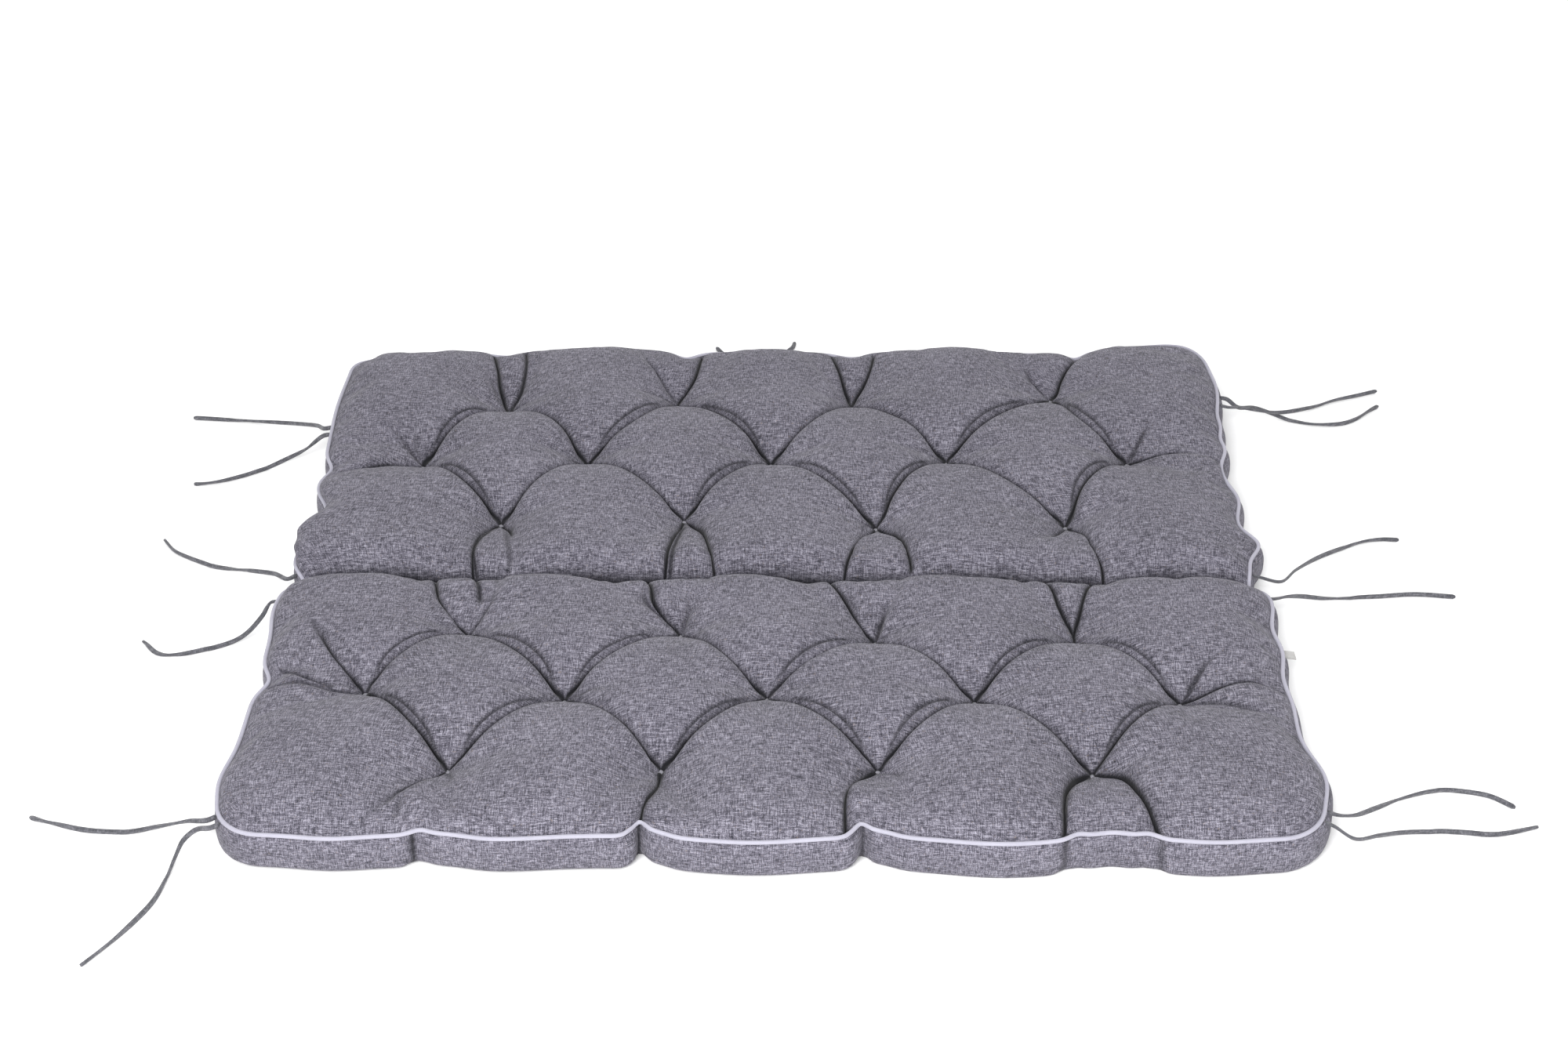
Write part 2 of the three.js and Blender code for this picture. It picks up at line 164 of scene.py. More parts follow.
class Reading:
    """A socket's value inside a material, which takes part in sums."""

    def __init__(self, pen: "Pen", socket: bpy.types.NodeSocket | None) -> None:
        """Wrap one output socket of a pen's material."""
        self.pen = pen
        self.socket = socket

    def _math(self, operation: str, *values: "Reading | float") -> "Reading":
        """Add one Math node with its inputs in order."""
        return self.pen.node("ShaderNodeMath", {"operation": operation}, dict(enumerate(values)))

    def __add__(self, other: "Reading | float") -> "Reading":
        """self + other."""
        return self._math("ADD", self, other)

    def __radd__(self, other: float) -> "Reading":
        """other + self."""
        return self._math("ADD", other, self)

    def __sub__(self, other: "Reading | float") -> "Reading":
        """self - other."""
        return self._math("SUBTRACT", self, other)

    def __rsub__(self, other: float) -> "Reading":
        """other - self."""
        return self._math("SUBTRACT", other, self)

    def __mul__(self, other: "Reading | float") -> "Reading":
        """self * other."""
        return self._math("MULTIPLY", self, other)

    def __rmul__(self, other: float) -> "Reading":
        """other * self."""
        return self._math("MULTIPLY", other, self)

    def clipped(self) -> "Reading":
        """The value kept between 0 and 1."""
        low = self._math("MAXIMUM", self, 0.0)
        return self._math("MINIMUM", low, 1.0)


@dataclass(frozen=True)
class Grain:
    """One noise field of a finish: its repeats a metre, finer layers, their weight and a seed.

    Two repeats follow the piece's cloth coordinates, weft then warp. Three follow its object's.
    """

    repeats: tuple[float, ...]
    detail: float
    rough: float
    seed: float
    turn: float = 0.0


class Pen:
    """Writes one material's nodes."""

    def __init__(self, name: str) -> None:
        """Start an empty node material.

        Args:
            name: The material's name.
        """
        self.material = bpy.data.materials.new(name)
        self.material.use_nodes = True
        self.tree = self.material.node_tree
        self.tree.nodes.clear()

    def node(self, kind: str, settings: dict, inputs: dict, output: int | str = 0) -> Reading:
        """Add a node.

        Args:
            kind: The node's type name.
            settings: Its own settings, written first. Stops are a ramp's (place, colour) pairs.
            inputs: Values or readings by socket name or number.
            output: Which output socket to read.

        Returns:
            The output as a reading.
        """
        node = self.tree.nodes.new(kind)
        for name, value in settings.items():
            if name == "stops":
                ramp = node.color_ramp
                while len(ramp.elements) < len(value):
                    ramp.elements.new(0.5)
                for element, (place, colour) in zip(ramp.elements, value):
                    element.position = place
                    element.color = (*colour, 1.0)
            else:
                setattr(node, name, value)
        for name, value in inputs.items():
            socket = node.inputs[name]
            if isinstance(value, Reading):
                self.tree.links.new(value.socket, socket)
            else:
                socket.default_value = value
        return Reading(self, node.outputs[output] if len(node.outputs) else None)

    def grain(self, grain: Grain) -> Reading:
        """Noise from 0 to 1 about 0.5.

        Args:
            grain: The field to read.

        Returns:
            The noise's value.
        """
        if len(grain.repeats) == 2:
            place = self.node("ShaderNodeUVMap", {"uv_map": "cloth"}, {})
            scale = (*grain.repeats, 1.0)
        else:
            place = self.node("ShaderNodeTexCoord", {}, {}, output="Object")
            scale = grain.repeats
        turned = {"Vector": place, "Rotation": (0.0, 0.0, grain.turn), "Scale": scale}
        place = self.node("ShaderNodeMapping", {"vector_type": "POINT"}, turned)
        inputs = {"Vector": place, "W": grain.seed, "Scale": 1.0}
        inputs |= {"Detail": grain.detail, "Roughness": grain.rough}
        return self.node("ShaderNodeTexNoise", {"noise_dimensions": "4D"}, inputs)

    def ramp(self, factor: Reading, stops: list[tuple[float, Colour]]) -> Reading:
        """Colour at a place from 0 to 1 along a row of places and their colours."""
        return self.node("ShaderNodeValToRGB", {"stops": stops}, {"Fac": factor})

    def tinted(self, share: Reading, ground: Reading, tint: Colour) -> Reading:
        """Mix a share of one even colour into the colour under it."""
        inputs = {0: share, 6: ground, 7: (*tint, 1.0)}
        return self.node("ShaderNodeMix", {"data_type": "RGBA"}, inputs, output=2)

    def bump(self, height: Reading, distance: float) -> Reading:
        """Normal bent by a height from 0 to 1, where 1 stands for a distance in metres."""
        return self.node("ShaderNodeBump", {}, {"Height": height, "Distance": distance, "Strength": 1.0})

    def finish(self, varying: dict, fixed: dict) -> bpy.types.Material:
        """Close the material with its shader.

        Args:
            varying: Shader inputs that change over the surface.
            fixed: Shader inputs with one value all over.

        Returns:
            The material.
        """
        shader = self.node("ShaderNodeBsdfPrincipled", {}, {**varying, **fixed})
        self.node("ShaderNodeOutputMaterial", {}, {"Surface": shader})
        return self.material


@dataclass(frozen=True)
class MelangeCloth:
    """Plain-woven cloth of mixed light and dark yarn, with slubs both ways and painted shade in its folds.
    """

    name: str = "melange_cloth"
    shade: Colour = (0.018, 0.018, 0.025)
    body: Colour = (0.098, 0.092, 0.117)
    light: Colour = (0.272, 0.262, 0.312)
    fleck: Colour = (0.220, 0.172, 0.140)
    # Colour mixed in as painted shade along the creases, in the tuft pits and on the band's folds
    painted_shade_colour: Colour = (0.005, 0.005, 0.007)
    weft: Grain = Grain((125.0, 880.0), 3.0, 0.62, 1.3)
    warp: Grain = Grain((980.0, 105.0), 3.0, 0.62, 4.1)
    crossing: Grain = Grain((1500.0, 1500.0), 1.0, 0.5, 7.7)
    clouds: Grain = Grain((9.0, 9.0), 3.0, 0.5, 2.9)
    specks: Grain = Grain((260.0, 420.0), 1.0, 0.5, 9.2)
    slub_share: float = 0.37
    crossing_share: float = 0.26
    contrast: float = 5.4
    cloud_contrast: float = 0.22
    fleck_from: float = 0.66
    fleck_slope: float = 9.0
    fleck_share: float = 0.4
    slub_relief: float = 0.35
    crossing_relief: float = 0.3
    grain_depth: float = 0.0007
    roughness: float = 0.93
    polish: float = 0.08
    sheen: float = 0.07
    sheen_roughness: float = 0.5
    specular: float = 0.2

    def material(self) -> bpy.types.Material:
        """Write the cloth's nodes.

        Returns:
            The material.
        """
        pen = Pen(self.name)
        weft = pen.grain(self.weft)
        warp = pen.grain(self.warp)
        crossing = pen.grain(self.crossing)
        clouds = (pen.grain(self.clouds) - 0.5) * self.cloud_contrast
        mixed = weft * self.slub_share + warp * self.slub_share + crossing * self.crossing_share
        tone = ((mixed - 0.5) * self.contrast + 0.5 + clouds).clipped()
        yarn = pen.ramp(tone, [(0.0, self.shade), (0.5, self.body), (1.0, self.light)])
        specks = ((pen.grain(self.specks) - self.fleck_from) * self.fleck_slope).clipped()
        flecked = pen.tinted(specks * self.fleck_share, yarn, self.fleck)
        # Painted shade: the cover's own attribute darkens the cloth's colour in its folds and tuft pits
        fold = pen.node("ShaderNodeAttribute", {"attribute_name": "fold_depth"}, {}, output="Fac")
        colour = pen.tinted(fold, flecked, self.painted_shade_colour)
        relief = weft * self.slub_relief + warp * self.slub_relief + crossing * self.crossing_relief
        rough = self.roughness - (tone - 0.5) * self.polish
        return pen.finish(
            {"Base Color": colour, "Roughness": rough, "Normal": pen.bump(relief, self.grain_depth)},
            {
                "Sheen Weight": self.sheen,
                "Sheen Roughness": self.sheen_roughness,
                "Specular IOR Level": self.specular,
            },
        )


@dataclass(frozen=True)
class PipingCloth:
    """Smooth pale strip cut on the slant and sewn round a cord."""

    name: str = "piping_strip"
    dim: Colour = (0.250, 0.243, 0.296)
    colour: Colour = (0.345, 0.337, 0.398)
    bright: Colour = (0.41, 0.40, 0.46)
    weave: Grain = Grain((1900.0, 855.0), 2.0, 0.6, 3.3, math.radians(45))
    wear: Grain = Grain((28.0, 60.0), 3.0, 0.5, 6.1)
    pucker: Grain = Grain((210.0, 90.0), 2.0, 0.5, 8.0)
    weave_contrast: float = 0.9
    wear_contrast: float = 0.7
    colour_at: float = 0.65
    weave_relief: float = 0.35
    pucker_relief: float = 0.65
    relief_depth: float = 0.0009
    roughness: float = 0.74
    rough_range: float = 0.1
    sheen: float = 0.15
    specular: float = 0.3

    def material(self) -> bpy.types.Material:
        """Write the strip's nodes.

        Returns:
            The material.
        """
        pen = Pen(self.name)
        weave = pen.grain(self.weave)
        wear = (pen.grain(self.wear) - 0.5) * self.wear_contrast
        tone = ((weave - 0.5) * self.weave_contrast + 0.5 + wear).clipped()
        colour = pen.ramp(tone, [(0.0, self.dim), (self.colour_at, self.colour), (1.0, self.bright)])
        relief = weave * self.weave_relief + pen.grain(self.pucker) * self.pucker_relief
        rough = self.roughness + (tone - 0.5) * self.rough_range
        return pen.finish(
            {"Base Color": colour, "Roughness": rough, "Normal": pen.bump(relief, self.relief_depth)},
            {"Sheen Weight": self.sheen, "Specular IOR Level": self.specular},
        )


@dataclass(frozen=True)
class TapeCloth:
    """Narrow folded tape of the cover's yarn, darker where it is dense."""

    name: str = "tie_tape_weave"
    dark: Colour = (0.026, 0.028, 0.033)
    body: Colour = (0.075, 0.075, 0.086)
    light: Colour = (0.185, 0.185, 0.205)
    slubs: Grain = Grain((160.0, 900.0), 3.0, 0.62, 5.5)
    ribs: Grain = Grain((1300.0, 500.0), 1.0, 0.5, 2.2)
    slub_share: float = 0.6
    rib_share: float = 0.4
    contrast: float = 2.7
    relief_depth: float = 0.0006
    roughness: float = 0.9
    polish: float = 0.06
    sheen: float = 0.2
    specular: float = 0.25

    def material(self) -> bpy.types.Material:
        """Write the tape's nodes.

        Returns:
            The material.
        """
        pen = Pen(self.name)
        mixed = pen.grain(self.slubs) * self.slub_share + pen.grain(self.ribs) * self.rib_share
        tone = ((mixed - 0.5) * self.contrast + 0.5).clipped()
        colour = pen.ramp(tone, [(0.0, self.dark), (0.5, self.body), (1.0, self.light)])
        rough = self.roughness - tone * self.polish
        return pen.finish(
            {"Base Color": colour, "Roughness": rough, "Normal": pen.bump(tone, self.relief_depth)},
            {"Sheen Weight": self.sheen, "Specular IOR Level": self.specular},
        )


@dataclass(frozen=True)
class RibbonSatin:
    """White woven ribbon, bare on both faces."""

    name: str = "tab_satin"
    dim: Colour = (0.24, 0.235, 0.23)
    colour: Colour = (0.380, 0.374, 0.368)
    bright: Colour = (0.50, 0.49, 0.48)
    threads: Grain = Grain((500.0, 500.0, 3200.0), 2.0, 0.5, 1.1)
    wear: Grain = Grain((150.0, 150.0, 150.0), 2.0, 0.5, 6.6)
    stops: tuple[float, float, float] = (0.2, 0.6, 1.0)
    relief_depth: float = 0.0002
    roughness: float = 0.55
    polish: float = 0.15
    sheen: float = 0.1

    def material(self) -> bpy.types.Material:
        """Write the ribbon's nodes.

        Returns:
            The material.
        """
        pen = Pen(self.name)
        threads = pen.grain(self.threads)
        tone = (threads * 0.5 + pen.grain(self.wear) * 0.5).clipped()
        colour = pen.ramp(tone, list(zip(self.stops, (self.dim, self.colour, self.bright))))
        rough = self.roughness - threads * self.polish
        return pen.finish(
            {"Base Color": colour, "Roughness": rough, "Normal": pen.bump(tone, self.relief_depth)},
            {"Sheen Weight": self.sheen},
        )


@dataclass(frozen=True)
class SewingThread:
    """Twisted sewing thread of one colour."""

    name: str = "grey_sewing_thread"
    colour: Colour = (0.200, 0.195, 0.225)
    ply: Grain = Grain((2600.0, 2600.0, 2600.0), 1.0, 0.5, 0.4)
    dark_share: float = 0.45
    dark_at: float = 0.3
    colour_at: float = 0.6
    relief_depth: float = 0.0003
    roughness: float = 0.8
    polish: float = 0.1
    sheen: float = 0.1

    def material(self) -> bpy.types.Material:
        """Write the thread's nodes.

        Returns:
            The material.
        """
        pen = Pen(self.name)
        ply = pen.grain(self.ply)
        dark = tuple(self.dark_share * part for part in self.colour)
        colour = pen.ramp(ply, [(self.dark_at, dark), (self.colour_at, self.colour)])
        rough = self.roughness - ply * self.polish
        return pen.finish(
            {"Base Color": colour, "Roughness": rough, "Normal": pen.bump(ply, self.relief_depth)},
            {"Sheen Weight": self.sheen},
        )


@dataclass(frozen=True)
class StudioPaint:
    """Matt pale floor, all but white."""

    name: str = "studio_floor"
    tone: float = 0.93
    roughness: float = 0.95

    def material(self) -> bpy.types.Material:
        """Write the floor's nodes."""
        fixed = {"Base Color": (self.tone, self.tone, self.tone, 1.0), "Roughness": self.roughness}
        return Pen(self.name).finish({}, {**fixed, "Specular IOR Level": 0.0})


@dataclass(frozen=True)
class Wave:
    """A bulge (+) or pleat (-) of one side: place along it, size and width."""

    side: Side
    at: float
    out: float
    width: float


@dataclass(frozen=True)
class TuftRow:
    """One row of tufts: its stop, its even first place, and where the tufts really are."""

    stop: int
    first_x: float
    x: tuple[float, ...]
    y: tuple[float, ...]

    def even_places(self) -> list[tuple[float, float]]:
        """Even x and y of the row's tufts, from the left."""
        return [(self.first_x + TUFT_PITCH * k, ROW_STOPS[self.stop]) for k in range(len(self.x))]


TUFT_PITCH = 0.240
ROW_STOPS = (0, 0.125, 0.250, 0.375, 0.505, 0.650, 0.800, 0.950, 1.100)
TUFT_ROWS = (
    TuftRow(1, -0.360, (-0.361, -0.123, 0.120, 0.360), (0.119, 0.124, 0.121, 0.116)),
    TuftRow(2, -0.480, (-0.475, -0.241, -0.005, 0.237, 0.476), (0.267, 0.253, 0.259, 0.253, 0.251)),
    TuftRow(3, -0.360, (-0.367, -0.110, 0.125, 0.366), (0.389, 0.390, 0.374, 0.374)),
    TuftRow(5, -0.360, (-0.351, -0.114, 0.135, 0.381), (0.640, 0.653, 0.634, 0.641)),
    TuftRow(6, -0.480, (-0.470, -0.249, -0.002, 0.235, 0.477), (0.788, 0.798, 0.796, 0.802, 0.802)),
    TuftRow(7, -0.360, (-0.368, -0.133, 0.110, 0.392), (0.935, 0.959, 0.957, 0.975)),
)

ROW_OF_STOP = {row.stop: row for row in TUFT_ROWS}
EVEN_TUFTS = [place for row in TUFT_ROWS for place in row.even_places()]

# How far each tuft's lead to the next edge runs aside, by row stop
LEAD_SKEWS = {
    1: (-0.075, -0.023, -0.040, 0.004),
    3: (-0.055, -0.030, -0.045, 0.010),
    5: (-0.004, -0.012, 0.008, 0.030),
    7: (-0.022, 0.008, -0.010, 0.040),
}

# The seam's outline as seen in the photograph
SEAM_WAVES = (
    Wave(Side.FRONT, -0.475, 0.007, 0.050),
    Wave(Side.FRONT, -0.379, -0.008, 0.013),
    Wave(Side.FRONT, -0.352, -0.006, 0.035),
    Wave(Side.FRONT, -0.300, 0.007, 0.070),
    Wave(Side.FRONT, -0.143, -0.024, 0.0105),
    Wave(Side.FRONT, -0.124, -0.009, 0.018),
    Wave(Side.FRONT, -0.020, 0.011, 0.080),
    Wave(Side.FRONT, 0.097, -0.020, 0.0105),
    Wave(Side.FRONT, 0.116, -0.011, 0.022),
    Wave(Side.FRONT, 0.250, 0.012, 0.080),
    Wave(Side.FRONT, 0.332, -0.008, 0.012),
    Wave(Side.FRONT, 0.370, -0.010, 0.032),
    Wave(Side.FRONT, 0.410, -0.007, 0.012),
    Wave(Side.FRONT, 0.480, 0.008, 0.060),
    Wave(Side.LEFT, 0.090, 0.009, 0.045),
    Wave(Side.LEFT, 0.281, -0.013, 0.026),
    Wave(Side.LEFT, 0.430, 0.007, 0.045),
    Wave(Side.LEFT, 0.505, -0.020, 0.020),
    Wave(Side.LEFT, 0.610, -0.010, 0.040),
    Wave(Side.LEFT, 0.668, -0.020, 0.036),
    Wave(Side.LEFT, 0.768, -0.013, 0.026),
    Wave(Side.LEFT, 0.940, 0.005, 0.090),
    Wave(Side.RIGHT, 0.100, 0.016, 0.050),
    Wave(Side.RIGHT, 0.240, 0.004, 0.040),
    Wave(Side.RIGHT, 0.350, 0.010, 0.040),
    Wave(Side.RIGHT, 0.455, 0.015, 0.050),
    Wave(Side.RIGHT, 0.505, -0.008, 0.020),
    Wave(Side.RIGHT, 0.590, 0.021, 0.030),
    Wave(Side.RIGHT, 0.700, 0.012, 0.040),
    Wave(Side.RIGHT, 0.830, 0.012, 0.030),
    Wave(Side.RIGHT, 0.888, 0.008, 0.030),
    Wave(Side.RIGHT, 1.005, 0.028, 0.108),
    Wave(Side.RIGHT, 1.092, 0.009, 0.028),
    Wave(Side.BACK, -0.560, -0.020, 0.110),
    Wave(Side.BACK, -0.384, -0.012, 0.030),
    Wave(Side.BACK, -0.205, 0.006, 0.055),
    Wave(Side.BACK, -0.125, -0.018, 0.020),
    Wave(Side.BACK, 0.115, -0.014, 0.028),
    Wave(Side.BACK, 0.250, 0.008, 0.070),
    Wave(Side.BACK, 0.436, -0.018, 0.018),
    Wave(Side.BACK, 0.560, 0.028, 0.090),
    Wave(Side.BACK, 0.592, 0.010, 0.028),
)

# Where the filling stands out over the seam
OVERHANGS = (
    Wave(Side.LEFT, 0.588, 0.034, 0.052),
    Wave(Side.LEFT, 0.690, 0.016, 0.040),
    Wave(Side.RIGHT, 0.640, 0.012, 0.045),
    Wave(Side.RIGHT, 0.770, 0.014, 0.040),
)


def sum_of_waves(waves: tuple[Wave, ...], side: Side, at: np.ndarray) -> np.ndarray:
    """Add up one side's waves.

    Args:
        waves: Waves of every side.
        side: The side that counts.
        at: Places along it.

    Returns:
        The sum at each place.
    """
    total = np.zeros_like(at)
    for wave in waves:
        if wave.side is side:
            total += wave.out * bell(at - wave.at, wave.width)
    return total


@dataclass(frozen=True)
class Crease:
    """A fold that the filling leaves along a line of even places.

    Fades and rise are the shares of the line over which its painted shade and its depth come and go.
    """

    points: tuple[tuple[float, float], ...]
    depth: float = 0.008
    width: float = 0.005
    pinch: float = 0.5
    # Strength of the painted shade along the fold's line
    dark: float = 0.6
    fades: tuple[float, float] = (0.03, 0.35)
    rise: tuple[float, float] = (0.20, 0.02)
    gather: float = 0.014
    carry: float = 0.0
    carry_reach: float = 0.030
    # The fold's painted shade: a dark core of this width, lifted and clipped, and a softer band beside it
    dark_width: float = 0.0037
    soft_share: float = 0.24
    soft_width: float = 0.011
    core_lift: float = 1.6
    wall_power: float = 1.1
    spacing: float = 0.006

    def line(self) -> np.ndarray:
        """Sample the crease's line.

        Returns:
            Even x and y of the samples, one a row.
        """
        flat = np.array(self.points)
        route = np.column_stack([flat, np.zeros(len(flat))])
        return smooth_route(route, self.spacing)[:, :2]

    def nearest(self, even: np.ndarray, reach: float) -> tuple[np.ndarray, np.ndarray, np.ndarray]:
        """Find the cloth near the crease.

        Args:
            even: Even x and y of the cloth's places.
            reach: How far from the line to look.

        Returns:
            Numbers of the near places, their offsets from the line and their shares along it.
        """
        line = self.line()
        low = line.min(axis=0) - reach
        high = line.max(axis=0) + reach
        near = np.flatnonzero(((even > low) & (even < high)).all(axis=1))
        best = np.full(len(near), np.inf)
        away = np.zeros((len(near), 2))
        share = np.zeros(len(near))
        for k, (first, second) in enumerate(zip(line, line[1:])):
            run = second - first
            along = np.clip((even[near] - first) @ run / (run @ run), 0, 1)
            apart = even[near] - first - along[:, None] * run
            distance = np.hypot(apart[:, 0], apart[:, 1])
            closer = distance < best
            best[closer] = distance[closer]
            away[closer] = apart[closer]
            share[closer] = (k + along[closer]) / (len(line) - 1)
        return near, away, share

    def full(self, share: np.ndarray, fades: tuple[float, float]) -> np.ndarray:
        """How full the crease is along its line.

        Args:
            share: Places along the line, 0 to 1.
            fades: Shares of the line over which it comes and goes.

        Returns:
            0 at its ends and up to 1 between them.
        """
        first, last = fades
        full = np.clip(share / first, 0, 1) * np.clip((1 - share) / last, 0, 1)
        return full * full * (3 - 2 * full)

    def press(self, even: np.ndarray, places: np.ndarray, sunk: np.ndarray, shade: np.ndarray) -> None:
        """Press the crease into the cloth.

        Args:
            even: Even x and y of the cloth's places.
            places: Their real places, which are drawn sideways.
            sunk: How far each place is pressed down, which is changed.
            shade: Painted shade of each place, 0 to 1, darkest on the fold's line, which is changed.
        """
        reach = max(2.5 * self.gather, 2.0 * self.carry_reach if self.carry else 0.0)
        near, away, share = self.nearest(even, reach)
        distance = np.hypot(away[:, 0], away[:, 1])
        full = self.full(share, tuple(max(pair) for pair in zip(self.fades, self.rise)))
        wall = np.exp(-((distance / self.width) ** self.wall_power))
        sunk[near] = np.maximum(sunk[near], self.depth * full * wall)
        drawn = self.pinch * full * bell(distance, self.gather)
        places[near, :2] -= away * drawn[:, None]
        # Painted shade along the line: a dark core and a softer band beside it
        core = np.minimum(self.core_lift * bell(distance, self.dark_width), 1.0)
        mark = core + self.soft_share * bell(distance, self.soft_width)
        shade[near] = np.maximum(shade[near], self.dark * self.full(share, self.fades) * mark)
        if self.carry:
            run = np.array(self.points[-1]) - np.array(self.points[0])
            aside = np.array([-run[1], run[0]]) / np.linalg.norm(run)
            moved = self.carry * 4 * share * (1 - share) * bell(distance, self.carry_reach)
            places[near, :2] += aside * moved[:, None]


# Where a twin fold runs: share of the way down, and share of its whole distance aside
TWIN_PLACES = ((0.16, 0.55), (0.40, 1.0), (0.68, 0.95), (0.93, 0.30))


def diagonal(
    upper: tuple[int, int], lower: tuple[int, int], bow: float, depth: float, twin: float
) -> list[Crease]:
    """The fold between two neighbouring tufts, with a fainter one beside it.

    Args:
        upper: Row stop and number of the further tuft.
        lower: The same of the nearer one.
        bow: How far the fold bows to the left of its way down.
        depth: Its depth.
        twin: How far off the fainter fold starts, or 0 for none.

    Returns:
        One or two creases.
    """
    start, end = (np.array(ROW_OF_STOP[stop].even_places()[k]) for stop, k in (upper, lower))
    run = end - start
    left = np.array([-run[1], run[0]]) / np.linalg.norm(run)
    # Both folds darken their line with painted shade, the main one more the deeper it is
    main = Crease(
        (tuple(start), tuple(end)),
        depth=depth,
        width=0.0080,
        pinch=0.66,
        dark=min(1.0, 0.18 + 62 * depth),
        fades=(0.02, 0.02),
        rise=(0.20, 0.20),
        gather=0.020,
        carry=bow,
        dark_width=0.0046,
        soft_share=0.22,
    )
    if not twin:
        return [main]
    beside = left * math.copysign(twin, bow)
    points = tuple(tuple(start + run * share + beside * rise) for share, rise in TWIN_PLACES)
    fainter = Crease(
        points,
        depth=0.42 * depth,
        width=0.0040,
        pinch=0.55,
        dark=0.65,
        fades=(0.12, 0.25),
        rise=(0.12, 0.25),
        gather=0.008,
        dark_width=0.0031,
        soft_share=0.08,
    )
    return [fainter, main]


@dataclass(frozen=True)
class FoldRow:
    """Folds from one row of tufts down to the next: bow, depth and twin's distance of each."""

    upper: int
    lower: int
    down_right: tuple[tuple[float, float, float], ...]
    down_left: tuple[tuple[float, float, float], ...]

    def creases(self) -> list[Crease]:
        """Make the row's creases.

        Returns:
            The folds and their twins.
        """
        wide = len(ROW_OF_STOP[self.upper].x) > len(ROW_OF_STOP[self.lower].x)
        found = []
        for k, (bow, depth, twin) in enumerate(self.down_right):
            lower_k = k if wide else k + 1
            found += diagonal((self.upper, k), (self.lower, lower_k), bow, depth, twin)
        for k, (bow, depth, twin) in enumerate(self.down_left):
            upper_k = k + 1 if wide else k
            found += diagonal((self.upper, upper_k), (self.lower, k), bow, depth, twin)
        return found


